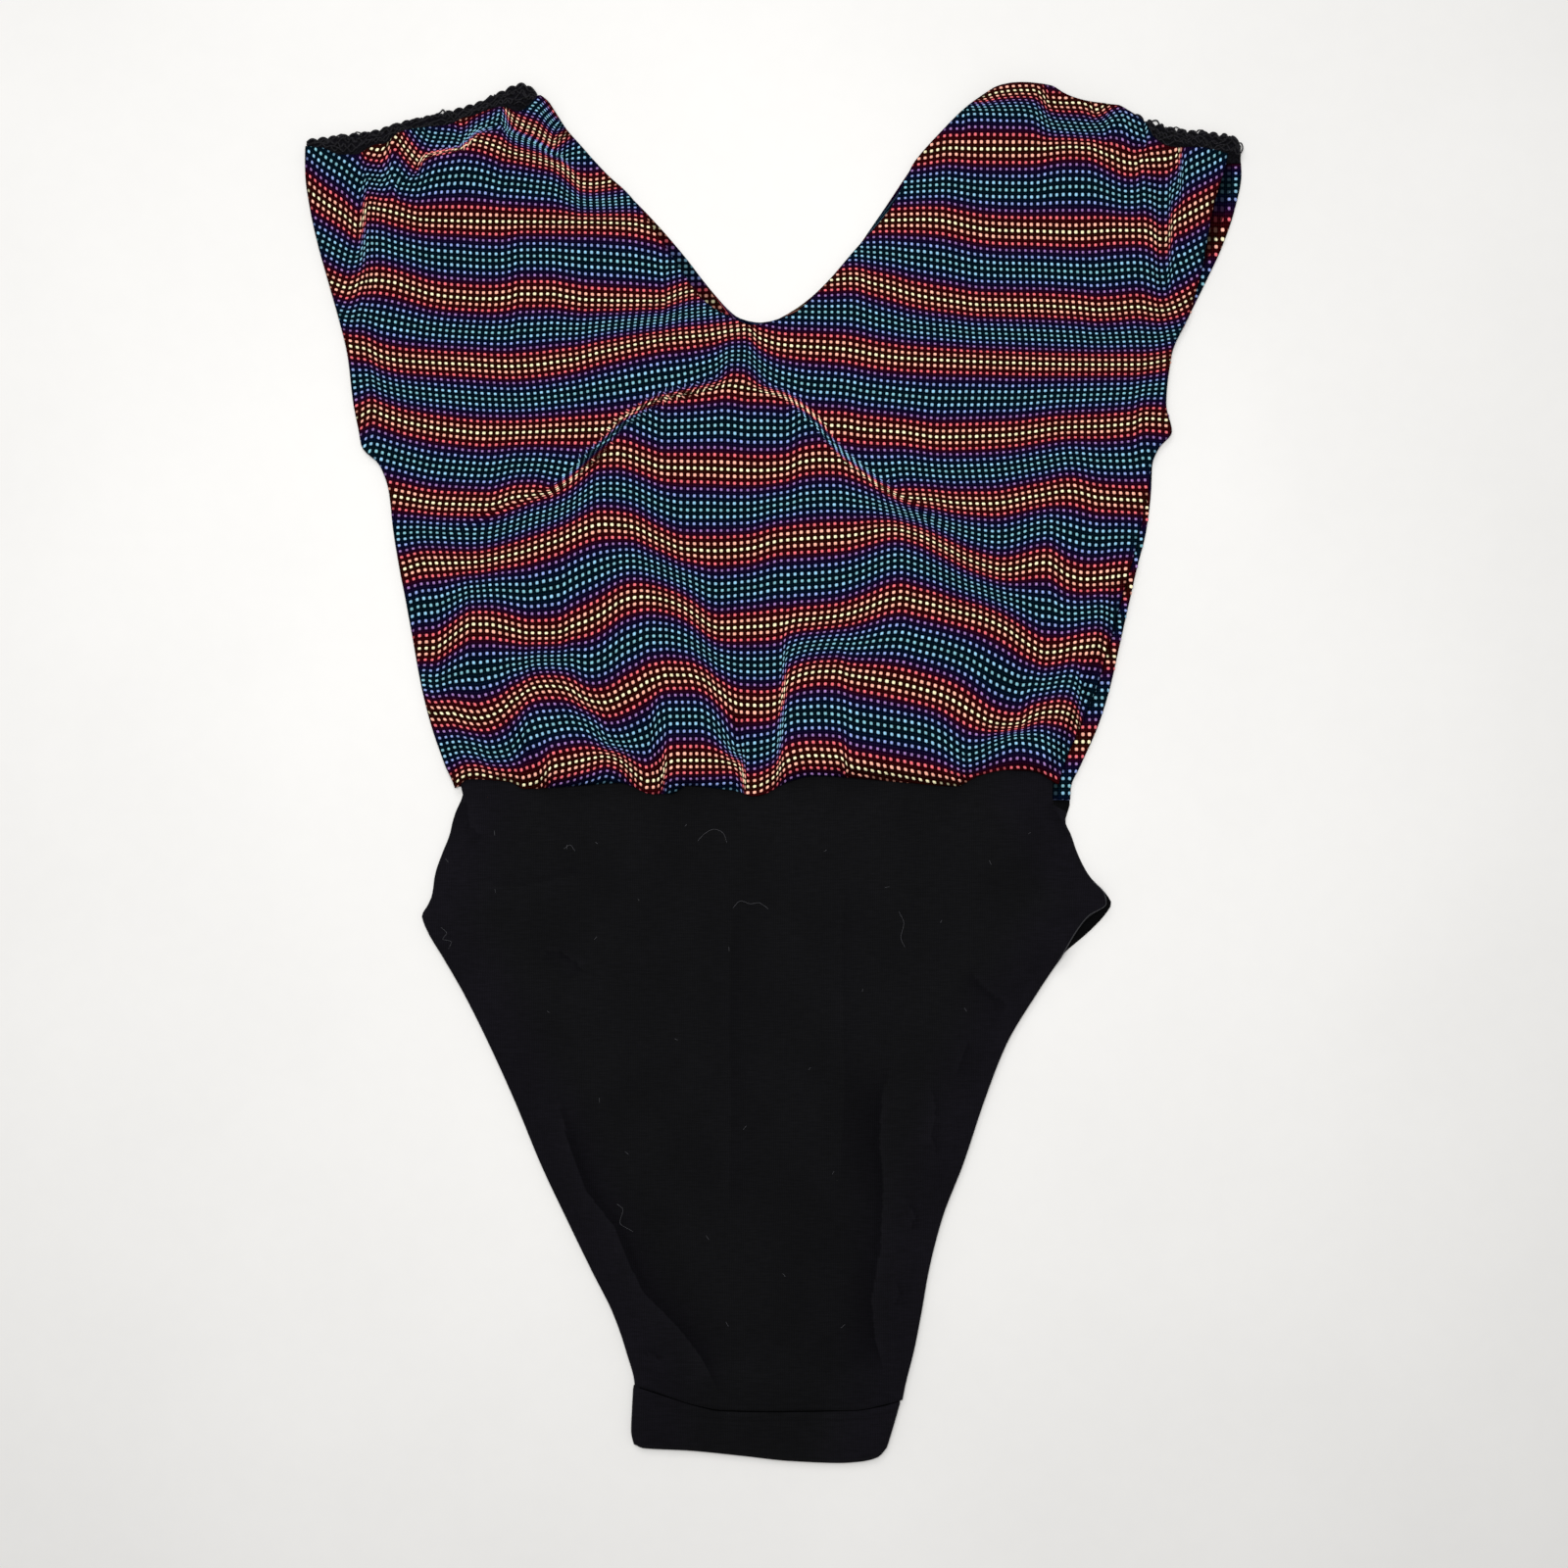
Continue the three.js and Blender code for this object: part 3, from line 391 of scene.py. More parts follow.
def smooth_curve(points):
    """Smooth curve through (t, value) points with t rising, with no overshoot."""
    t = np.array([p[0] for p in points], float)
    value = np.array([p[1] for p in points], float)
    secant = np.diff(value) / np.diff(t)
    before = np.concatenate([secant[:1], secant])
    after = np.concatenate([secant, secant[-1:]])
    product = before * after
    total = np.where(product > 0, before + after, 1.0)
    slope = np.where(product > 0, 2 * product / total, 0.0)

    def curve(at):
        at = np.clip(np.asarray(at, float), t[0], t[-1])
        i = np.clip(np.searchsorted(t, at, side="right") - 1, 0, len(t) - 2)
        span = t[i + 1] - t[i]
        s = (at - t[i]) / span
        bend = slope[i] * span * s * (1 - s) ** 2 - slope[i + 1] * span * s * s * (1 - s)
        return value[i] + (value[i + 1] - value[i]) * s * s * (3 - 2 * s) + bend

    return curve


def side_curves(sections):
    """A smooth curve over y for each edge in a table of sections."""
    return [smooth_curve([(row[0], row[column]) for row in reversed(sections)])
            for column in range(1, len(sections[0]))]


def smooth_step(value):
    t = np.clip(value, 0, 1)
    return t * t * (3 - 2 * t)


def mix(a, b, t):
    return a + (b - a) * t


def even(count):
    return np.linspace(0, 1, count + 1)


def fade_between(along, start, end):
    """From 0 at either end of a line to 1, over a share of its length."""
    return smooth_step(along / start) * smooth_step((1 - along) / end)


def from_sides(left, right, x, y):
    return np.minimum(x - left(y), right(y) - x)


FOLD_SAMPLES = 14
FOLD_REACH = 2.6
FOLD_END = 0.2
PAINTED_SHADE_END = 0.12
ROLLED_START = 0.3
ROLLED_END = 0.45
WAVES = 7


def fold_line(start, through, end):
    start, through, end = (np.array(p, float) for p in (start, through, end))
    bend = 2 * through - (start + end) / 2
    t = even(FOLD_SAMPLES)[:, None]
    return (1 - t) ** 2 * start + 2 * t * (1 - t) * bend + t * t * end


def nearest_on_line(line, x, y):
    """Distance to a polyline, the side of it (+1 left, -1 right) and how far along it."""
    distance = np.full(np.shape(x), np.inf)
    side = np.ones(np.shape(x))
    along = np.zeros(np.shape(x))
    for i in range(len(line) - 1):
        dx, dy = line[i + 1] - line[i]
        s = ((x - line[i][0]) * dx + (y - line[i][1]) * dy) / (dx * dx + dy * dy)
        s = np.clip(s, 0, 1)
        off_x = x - (line[i][0] + dx * s)
        off_y = y - (line[i][1] + dy * s)
        found = np.hypot(off_x, off_y)
        closer = found < distance
        distance = np.where(closer, found, distance)
        side = np.where(closer, np.sign(dx * off_y - dy * off_x), side)
        along = np.where(closer, (i + s) / (len(line) - 1), along)
    return distance, side, along


def near_line(line, reach, x, y):
    low, high = line.min(0) - reach, line.max(0) + reach
    return (x > low[0]) & (x < high[0]) & (y > low[1]) & (y < high[1])


def folds_height(folds, x, y):
    """Height that a table of folds adds at each point."""
    total = np.zeros(np.shape(x))
    for start, through, end, rise, left_run, right_run in folds:
        line = fold_line(start, through, end)
        near = near_line(line, FOLD_REACH * max(left_run, right_run), x, y)
        distance, side, along = nearest_on_line(line, x[near], y[near])
        run = np.where(side > 0, left_run, right_run)
        fade = fade_between(along, FOLD_END, FOLD_END)
        total[near] += rise * fade * np.exp(-((distance / run) ** 2))
    return total


def rolled_height(edges, x, y):
    """Height of the rolled edges: steep on one side and easy on the other."""
    best = np.zeros(np.shape(x))
    for edge, steep_side, rise, steep_run, easy_run, start_share in edges:
        line = np.array([from_raised_pixel(*p) for p in edge])
        distance, side, along = nearest_on_line(line, x, y)
        run = np.where(side == steep_side, steep_run, easy_run)
        fade = smooth_step(start_share + along / ROLLED_START)
        fade *= smooth_step((1 - along) / ROLLED_END)
        best = np.maximum(best, rise * fade * np.exp(-((distance / run) ** 2)))
    return best


def ripple(x, y, seed, scale, height):
    """Low irregular waves, the same each run."""
    draw = np.random.default_rng(seed)
    total = np.zeros(np.shape(x))
    for _ in range(WAVES):
        angle = draw.uniform(0, math.pi)
        length = scale * draw.uniform(0.6, 1.6)
        phase = draw.uniform(0, 2 * math.pi)
        total += np.sin((x * math.cos(angle) + y * math.sin(angle)) * 2 * math.pi / length + phase)
    return total * height / WAVES


bodice_left, bodice_front_right, bodice_back_right = side_curves(BODICE_SECTIONS)
brief_left, brief_front_right, brief_back_right = side_curves(BRIEF_SECTIONS)
band_left, band_right = side_curves(BAND_SECTIONS)
waist_curve = smooth_curve(FRONT_WAIST)
seam_curve = smooth_curve(CROTCH_SEAM)


def lowered(edge, drop):
    return [(x, y - drop) for x, y in edge]


def edge_by_share(edge, left, right):
    return smooth_curve([((x - left(y)) / (right(y) - left(y)), y) for x, y in edge])


def panel_grid(left, right, top, bottom, shares, rows, height):
    """Points of a panel: columns share out each section, and rows run between two edges."""
    u = np.atleast_2d(np.asarray(shares, float))
    v = np.asarray(rows, float)[:, None]
    y = mix(edge_by_share(top, left, right)(u), edge_by_share(bottom, left, right)(u), v)
    x = mix(left(y), right(y), u)
    return np.stack([x, y, height(x, y)], axis=-1)


def grid_normals(grid):
    across = np.gradient(grid, axis=1)
    down = np.gradient(grid, axis=0)
    normal = np.cross(down, across)
    return normal / np.linalg.norm(normal, axis=-1, keepdims=True)


def front_bodice_height(x, y):
    side = from_sides(bodice_left, bodice_front_right, x, y)
    neck_line = [FRONT_SHOULDER_LEFT[-1], *FRONT_NECK, FRONT_SHOULDER_RIGHT[0]]
    left_shoulder, right_shoulder, neck = (
        nearest_on_line(np.array(line), x, y)[0]
        for line in (FRONT_SHOULDER_LEFT, FRONT_SHOULDER_RIGHT, neck_line))
    shoulder = np.minimum(left_shoulder, right_shoulder)
    waist = y - waist_curve(x)
    loft = (smooth_step(side / SIDE_RISE) * smooth_step(np.minimum(shoulder, neck) / NECK_RISE)
            * smooth_step(LOFT_AT_WAIST + waist / WAIST_RISE))
    rim = smooth_step(np.minimum(
        np.minimum(side / FOLDS_FROM_SIDE, shoulder / FOLDS_FROM_TOP),
        np.minimum(neck / FOLDS_FROM_TOP, FOLDS_AT_WAIST + waist / FOLDS_FROM_WAIST)))
    seam = np.maximum(1 - smooth_step((shoulder - LACE_COVER) / SEAM_LIFT_RUN),
                      1 - smooth_step((waist - WAIST_COVER) / SEAM_LIFT_RUN))
    relief = BODICE_LOFT * loft + folds_height(OPEN_BODICE_FOLDS, x, y)
    relief += rim * (folds_height(BODICE_FOLDS, x, y) + rolled_height(ROLLED_EDGES, x, y))
    edge_share = smooth_step(np.minimum(
        side / FINE_FROM_SIDE, np.minimum(shoulder, neck) / FINE_FROM_TOP))
    fine = folds_height(BODICE_CREASES, x, y) + ripple(x, y, seed=3, scale=34, height=0.9)
    base = mix(FRONT_REST + BODICE_CLEARANCE, OVER_SEAM, seam)
    return base + (relief + np.hypot(relief, LEAST_RELIEF)) / 2 + edge_share * fine


# The roll of the back beside the side seam, and the mouth of the open armhole
ROLL_GAP = 0.8
LEAST_ROLL = 0.6
ROLL_TOP = 118
SIDE_SEAM_TOP = 170
ARMHOLE_MOUTH_LOW = 250
ARMHOLE_MOUTH_HIGH = 296
ARMHOLE_MOUTH_RUN = 16
ROLL_RUN = 14


def back_right_band(y):
    """Width and rise of the roll beside the side seam and of the hem at the open armhole."""
    strip = bodice_back_right(y) - bodice_front_right(y) - ROLL_GAP
    rolled = smooth_step((ROLL_TOP - y) / ROLL_RUN)
    hemmed = (smooth_step((y - ARMHOLE_MOUTH_LOW) / ARMHOLE_MOUTH_RUN)
              * smooth_step((ARMHOLE_MOUTH_HIGH + ARMHOLE_MOUTH_RUN - y) / 8))
    width = np.where(y > SIDE_SEAM_TOP, ARMHOLE_HEM_WIDTH, np.maximum(strip, LEAST_ROLL))
    roll_rise = ROLL_RAISE * smooth_step((strip - LEAST_ROLL) / 2)
    return width, mix(ARMHOLE_HEM_RAISE * hemmed, roll_rise, rolled)


# Below this height the side of the brief is the hem of the leg opening
HIP = -70


def front_brief_height(x, y):
    side = from_sides(brief_left, brief_front_right, x, y)
    waist = BRIEF_TOP - y
    seam = y - seam_curve(x)
    loft = (smooth_step(side / BRIEF_RISE) * smooth_step(waist / BRIEF_RISE)
            * smooth_step(LOFT_AT_SEAM + seam / BRIEF_RISE))
    rim = smooth_step(side / FOLDS_FROM_SIDE) * smooth_step(waist / FOLDS_FROM_TOP)
    hem = np.where(y < HIP, HEM_RAISE * smooth_step((HEM_WIDTH - side) / HEM_STEP + 1), 0)
    relief = BRIEF_LOFT * loft + folds_height(OPEN_BRIEF_FOLDS, x, y)
    relief += rim * (folds_height(BRIEF_FOLDS, x, y)
                     + ripple(x, y, seed=11, scale=60, height=0.8)
                     + rolled_height(BRIEF_ROLLED_EDGES, x, y))
    return FRONT_REST + BRIEF_CLEARANCE + hem + np.maximum(0, relief)


# Cloth coordinates of the dotted knit. Rows count down the front from the first yellow row,
# twelve to a stripe, and each line gives where one row runs, in pixels of the photograph.
ROW_LINES = [
    (-24, [(313, -180), (400, -40), (450, 20), (480, 50), (500, 66), (520, 80), (535, 84),
           (550, 86), (560, 100), (570, 115), (600, 108), (700, 30), (900, -10), (1000, 20),
           (1080, 30), (1190, 0), (1270, -120)]),
    (-12, [(313, -2), (330, 12), (350, 25), (366, 36), (376, 52), (388, 62), (400, 60),
           (412, 75), (428, 95), (438, 108), (450, 111), (464, 114), (469, 118), (474, 118),
           (481, 112), (490, 108), (500, 104), (511, 99), (515, 106), (519, 116), (525, 123),
           (535, 128), (548, 133), (556, 139), (565, 145), (573, 140),
           (582, 134), (600, 126), (700, 100), (860, 82), (945, 76), (980, 74), (988, 96),
           (1000, 99), (1020, 94), (1040, 92), (1055, 92), (1063, 96), (1070, 104),
           (1087, 105), (1100, 105), (1110, 107), (1118, 112), (1128, 107), (1140, 100),
           (1150, 98), (1165, 95), (1190, 80), (1203, 70), (1208, 40), (1240, 22),
           (1270, 8)]),
    (-6, [(978, 112), (1000, 112), (1040, 112), (1055, 114), (1065, 122), (1075, 127),
          (1095, 129), (1110, 130), (1125, 129), (1135, 123), (1145, 122), (1155, 128),
          (1168, 134)]),
    (0, [(313, 96), (330, 109), (350, 122), (366, 133), (374, 150), (388, 153), (396, 147),
         (400, 139), (404, 140), (412, 149), (420, 158), (430, 166), (445, 167), (460, 167),
         (475, 164), (488, 156), (500, 153), (511, 149), (520, 162), (530, 176), (540, 180),
         (560, 182), (580, 184), (594, 187), (602, 188), (612, 187), (625, 185), (645, 181),
         (700, 176), (860, 164), (920, 158), (945, 155), (970, 151), (1000, 152), (1060, 152),
         (1090, 150), (1110, 151), (1130, 158), (1150, 166), (1158, 167), (1165, 164),
         (1190, 162), (1202, 158), (1208, 130), (1235, 115), (1255, 104), (1270, 98)]),
    (12, [(313, 193), (330, 206), (350, 219), (367, 231), (375, 212), (390, 214), (410, 219),
          (430, 224), (450, 225), (500, 226), (600, 227), (640, 228), (663, 232), (690, 240),
          (780, 246), (860, 232), (905, 225), (940, 224), (960, 225), (980, 229),
          (1000, 233), (1020, 235), (1060, 236), (1100, 237), (1140, 235), (1165, 235),
          (1175, 238), (1183, 244), (1191, 244), (1197, 228), (1210, 220), (1235, 207),
          (1255, 197), (1270, 190)]),
    (24, [(330, 284), (345, 291), (355, 294), (362, 292), (370, 288), (385, 286), (400, 288),
          (420, 294), (440, 300), (460, 303), (500, 305), (520, 303), (530, 300), (560, 300),
          (580, 303), (600, 306), (660, 307), (675, 307), (685, 303), (705, 297), (760, 292),
          (800, 288), (845, 286), (870, 284), (890, 289), (910, 294), (930, 300), (950, 304),
          (970, 307), (1000, 311), (1060, 312), (1100, 314), (1120, 316), (1140, 315),
          (1160, 313), (1185, 317), (1200, 313), (1215, 305), (1240, 292)]),
    (36, [(350, 351), (357, 353), (373, 356), (390, 364), (410, 368), (440, 370), (480, 372),
          (518, 374), (583, 367), (615, 359), (680, 346), (720, 342), (750, 337), (762, 336),
          (775, 345), (800, 352), (860, 356), (900, 363), (930, 366), (1124, 372),
          (1160, 372), (1178, 370), (1193, 367)]),
    (48, [(360, 428), (367, 425), (380, 419), (388, 422), (402, 427), (420, 432), (453, 438),
          (497, 442), (583, 439), (612, 438), (640, 436), (678, 431), (700, 424), (720, 415),
          (733, 408), (740, 398), (748, 394), (757, 395), (770, 402), (784, 415), (801, 424),
          (829, 433), (862, 435), (880, 438), (920, 441),
          (960, 446), (1025, 444), (1090, 436), (1122, 435), (1155, 432), (1168, 427),
          (1195, 429)]),
    (60, [(390, 504), (401, 506), (453, 514), (498, 515), (527, 507), (545, 506), (566, 510),
          (590, 515), (640, 516), (700, 505), (763, 497), (800, 508), (862, 514), (900, 512),
          (925, 508), (945, 509), (976, 513), (1009, 514), (1058, 506), (1090, 501),
          (1123, 508), (1168, 511)]),
    (72, [(400, 584), (411, 581), (434, 575), (480, 574), (522, 566), (568, 552), (616, 535),
          (642, 537), (672, 550), (698, 560), (730, 562), (763, 560), (795, 552), (847, 548),
          (863, 547), (911, 540), (934, 545), (960, 557), (993, 573), (1025, 581),
          (1068, 574), (1090, 587), (1107, 591), (1149, 587)]),
    (84, [(420, 664), (427, 662), (443, 661), (453, 656), (462, 649), (473, 641), (481, 637),
          (495, 637), (514, 640), (525, 643), (541, 646), (557, 646), (570, 645), (584, 639),
          (598, 634), (611, 628), (625, 619), (635, 613), (646, 610), (657, 609), (668, 610),
          (681, 613), (692, 617), (703, 623), (714, 631), (724, 638), (735, 641), (760, 640),
          (787, 638), (800, 636), (813, 633), (835, 631), (853, 629), (867, 626), (880, 622),
          (893, 617), (907, 612), (920, 610), (933, 613), (947, 616), (973, 623), (1000, 630),
          (1011, 634), (1027, 642), (1040, 651), (1053, 660), (1067, 666), (1080, 665),
          (1093, 662), (1107, 660), (1120, 659), (1128, 663), (1136, 671)]),
    (96, [(436, 726), (441, 728), (460, 728), (473, 731), (487, 733), (498, 731), (506, 728),
          (514, 723), (522, 716), (530, 711), (538, 705), (549, 701), (562, 700), (573, 701),
          (584, 705), (595, 712), (606, 716), (616, 717), (627, 714), (638, 708), (649, 703),
          (660, 696), (670, 692), (681, 689), (703, 689), (714, 692), (722, 696), (730, 703),
          (738, 709), (746, 715), (757, 719), (776, 720), (787, 719), (796, 716), (800, 706),
          (803, 696), (811, 691), (824, 687), (840, 685), (853, 685), (867, 689), (893, 693),
          (920, 698), (947, 705), (960, 709), (973, 715), (987, 723), (1000, 731),
          (1013, 737), (1027, 739), (1040, 738), (1053, 731), (1067, 727), (1080, 726),
          (1091, 729), (1099, 737), (1104, 750), (1125, 762)]),
    (102, [(450, 766), (470, 762), (485, 764), (500, 768), (518, 765), (528, 757), (538, 746),
           (552, 741), (565, 739), (580, 737), (595, 739), (607, 745), (620, 755),
           (635, 757), (655, 753), (663, 750), (668, 742), (674, 735), (685, 731),
           (712, 731), (726, 737), (736, 748), (745, 760), (752, 766), (760, 766),
           (785, 762), (794, 756), (798, 742), (802, 733), (815, 729), (840, 728),
           (858, 730), (872, 735), (895, 739), (920, 743), (945, 748), (962, 755),
           (976, 765), (987, 770), (1000, 767), (1015, 760), (1040, 753), (1060, 755),
           (1080, 765), (1095, 775), (1110, 785)]),
    (108, [(455, 806), (462, 801), (468, 796), (476, 791), (487, 790), (498, 792), (511, 795),
           (522, 797), (533, 801), (541, 800), (550, 797), (557, 789), (563, 783), (576, 780),
           (589, 777), (603, 774), (616, 772), (627, 774), (635, 778), (643, 785),
           (652, 793), (660, 797), (670, 796), (676, 791), (680, 779), (692, 776),
           (719, 776), (735, 777), (749, 780), (756, 785), (759, 794), (762, 803),
           (773, 802), (784, 797), (792, 791), (797, 783), (803, 777), (813, 773),
           (827, 771), (853, 772), (861, 775), (865, 781), (888, 786), (920, 792),
           (947, 797), (973, 801), (986, 803), (1000, 801), (1020, 799), (1045, 799),
           (1070, 805), (1090, 814), (1105, 822)]),
]
# Rows that run otherwise within an outline, which starts at a rolled edge
DRAPE_PATCH = [*DRAPE_LEFT[:0:-1], *DRAPE_RIGHT[1:], (1040, 700), (400, 700)]
DRAPE_ROWS = [
    (48, [(527, 441), (560, 417), (582, 406), (600, 393), (630, 385), (641, 386), (658, 392),
          (680, 399), (700, 398), (727, 395), (740, 393), (762, 396), (786, 398), (801, 400),
          (820, 393), (840, 390),
          (857, 391), (871, 396), (890, 406), (907, 417), (930, 434), (960, 446)]),
    (60, [(527, 507), (545, 500), (560, 496), (582, 486), (596, 475), (610, 465), (630, 463),
          (641, 465), (658, 471), (678, 477), (720, 478), (773, 480), (801, 478), (820, 471),
          (840, 469), (857, 470), (871, 475), (890, 485), (907, 496), (925, 505),
          (945, 509)]),
]
SHOULDER_PATCH = [*SHOULDER_ROLL, (600, 227), (500, 226), (430, 224), (404, 206), (400, 184),
                  (414, 180)]
SHOULDER_ROWS = [
    (0, [(396, 154), (420, 155), (430, 152), (440, 148), (450, 145), (470, 143), (482, 143),
         (490, 144), (503, 148), (520, 155), (540, 160), (558, 165), (572, 171), (585, 181),
         (592, 187)]),
]
# Outline, rows, blend, and where and over what length its stitches fall back into step
PATCHES = [
    (DRAPE_PATCH, DRAPE_ROWS, 9.0, 430, 1060, 110),
    (SHOULDER_PATCH, SHOULDER_ROWS, 4.0, 396, 606, 40),
]
# A last row below the waist carries the rows on where nothing shows them
HIDDEN_ROW = 120
HIDDEN_DROP = 70
# These rows hold only between the ends of their own lines
PARTIAL_ROWS = (-6,)
ROWS_IN_STRIPE = 12
DOT_PITCH = 3.32
MIDDLE_PIXEL_X = 770
RASTER_STEP = 0.75
ROW_STEP = 0.5
FIRST_ROW = -24
LAST_ROW = 120
SMOOTHED_ROWS = 9
RASTER_LEFT = -242.0
RASTER_RIGHT = 242.0
RASTER_LOW = -24.0
RASTER_HIGH = 356.0


def row_field(lines, xs, rows):
    """Where each row runs: y for each x and row number."""
    curves = []
    for row, points in lines:
        places = from_pixels(points)
        reach = (places[0][0], places[-1][0]) if row in PARTIAL_ROWS else (-math.inf, math.inf)
        curves.append((row, smooth_curve(places), reach))
    y_of_row = np.empty((len(xs), len(rows)))
    for i, x in enumerate(xs):
        stations = [(row, float(curve(x))) for row, curve, reach in curves
                    if reach[0] <= x <= reach[1]]
        y_of_row[i] = smooth_curve(stations)(rows)
    return y_of_row


def smoothed_down(values, count):
    """Mean over neighbouring rows, so that columns of stitches run on smoothly."""
    padded = np.pad(values, ((0, 0), (count, count)), mode="edge")
    total = np.cumsum(np.pad(padded, ((0, 0), (1, 0))), axis=1)
    return (total[:, 2 * count + 1:] - total[:, :-2 * count - 1]) / (2 * count + 1)


# Spacing of the stitches at each row, in millimetres: the cloth is stretched more lower down
STITCH_PITCH = [(-24, 3.26), (12, 3.26), (36, 3.36), (60, 3.40), (84, 3.56), (120, 3.64)]


def depth_inside(outline, x, y):
    """How far each point lies inside an outline, negative outside it."""
    line = from_pixels([*outline, outline[0]])
    distance = nearest_on_line(line, x, y)[0]
    inside = np.zeros(np.shape(x), bool)
    for (x0, y0), (x1, y1) in zip(line[:-1], line[1:]):
        if y0 != y1:
            crossing = x0 + (y - y0) * (x1 - x0) / (y1 - y0)
            inside ^= ((y0 > y) != (y1 > y)) & (x < crossing)
    return np.where(inside, distance, -distance)


def spliced(line, part):
    """A row's line with a patch's stretch in place of its own."""
    first, last = part[0][0], part[-1][0]
    return [p for p in line if p[0] < first] + part + [p for p in line if p[0] > last]


class Weave:
    """Cloth coordinates over a panel: rows down the cloth and stitches across it."""

    def __init__(self, height):
        self.xs = np.arange(RASTER_LEFT, RASTER_RIGHT + RASTER_STEP, RASTER_STEP)
        self.ys = np.arange(RASTER_LOW, RASTER_HIGH, RASTER_STEP / 2)
        last_line = ROW_LINES[-1][1]
        hidden = (HIDDEN_ROW, [(px, py + HIDDEN_DROP) for px, py in last_line])
        self.row, self.stitch = self.raster([*ROW_LINES, hidden], height)
        x, y = np.meshgrid(self.xs, self.ys, indexing="ij")
        for outline, part_rows, blend, first, last, fade in PATCHES:
            part_rows = dict(part_rows)
            lines = [(row, spliced(line, part_rows[row]) if row in part_rows else line)
                     for row, line in ROW_LINES]
            row, stitch = self.raster([*lines, hidden], height)
            share = np.clip(depth_inside(outline, x, y) / (blend * PIXEL), 0, 1)
            self.row = mix(self.row, row, share)
            left_end, right_end = from_pixel(first, 0)[0], from_pixel(last, 0)[0]
            kept = (smooth_step((x - left_end) / (fade * PIXEL))
                    * smooth_step((right_end - x) / (fade * PIXEL)))
            self.stitch = mix(self.stitch, stitch, share * kept)

    def raster(self, lines, height):
        """Row and stitch number over an even raster, measured along the raised cloth."""
        rows = np.arange(FIRST_ROW, LAST_ROW + ROW_STEP, ROW_STEP)
        y_of_row = row_field(lines, self.xs, rows)
        z = height(np.repeat(self.xs[:, None], len(rows), axis=1), y_of_row)
        length = np.sqrt(RASTER_STEP ** 2 + np.diff(y_of_row, axis=0) ** 2
                         + np.diff(z, axis=0) ** 2)
        along = np.vstack([np.zeros(len(rows)), np.cumsum(length, axis=0)])
        middle = (from_pixel(MIDDLE_PIXEL_X, 0)[0] - RASTER_LEFT) / RASTER_STEP
        along -= mix(along[int(middle)], along[int(middle) + 1], middle % 1)
        along = smoothed_down(along, SMOOTHED_ROWS) / smooth_curve(STITCH_PITCH)(rows)
        row = np.empty((len(self.xs), len(self.ys)))
        stitch = np.empty_like(row)
        for i in range(len(self.xs)):
            row[i] = np.interp(-self.ys, -y_of_row[i], rows)
            stitch[i] = np.interp(row[i], rows, along[i])
        return row, stitch

    def at(self, x, y):
        """Stitch and row numbers at each point."""
        i = np.clip((x - self.xs[0]) / RASTER_STEP, 0, len(self.xs) - 1.001)
        j = np.clip((y - self.ys[0]) / (RASTER_STEP / 2), 0, len(self.ys) - 1.001)
        i0, j0 = i.astype(int), j.astype(int)
        s, t = i - i0, j - j0

        def look(raster):
            low = mix(raster[i0, j0], raster[i0 + 1, j0], s)
            high = mix(raster[i0, j0 + 1], raster[i0 + 1, j0 + 1], s)
            return mix(low, high, t)

        return np.stack([look(self.stitch), look(self.row)], axis=-1)


def new_object(name, points, faces, materials, slots=None, cloth=None, spread=None):
    """A smooth-shaded mesh object from points in millimetres."""
    mesh = bpy.data.meshes.new(name)
    mesh.from_pydata(np.asarray(points, float) * MM, [], faces)
    for material in materials:
        mesh.materials.append(material)
    if slots is not None:
        mesh.polygons.foreach_set("material_index", np.asarray(slots, np.int32))
    mesh.polygons.foreach_set("use_smooth", np.ones(len(mesh.polygons), bool))
    corner = np.empty(len(mesh.loops), np.int32)
    mesh.loops.foreach_get("vertex_index", corner)
    for layer_name, places in (("cloth", cloth), ("OFBake", spread)):
        if places is not None:
            layer = mesh.uv_layers.new(name=layer_name)
            layer.uv.foreach_set("vector", places[corner].astype(np.float32).ravel())
    mesh.update()
    piece = bpy.data.objects.new(name, mesh)
    bpy.context.scene.collection.objects.link(piece)
    return piece


def grid_faces(rows, columns):
    """Faces of a grid of points, and its rim in order."""
    index = np.arange(rows * columns).reshape(rows, columns)
    a, b = index[:-1, :-1].ravel(), index[:-1, 1:].ravel()
    c, d = index[1:, 1:].ravel(), index[1:, :-1].ravel()
    rim = np.concatenate([index[0, :-1], index[:-1, -1], index[-1, :0:-1], index[:0:-1, 0]])
    return np.stack([a, d, c, b], axis=1), rim


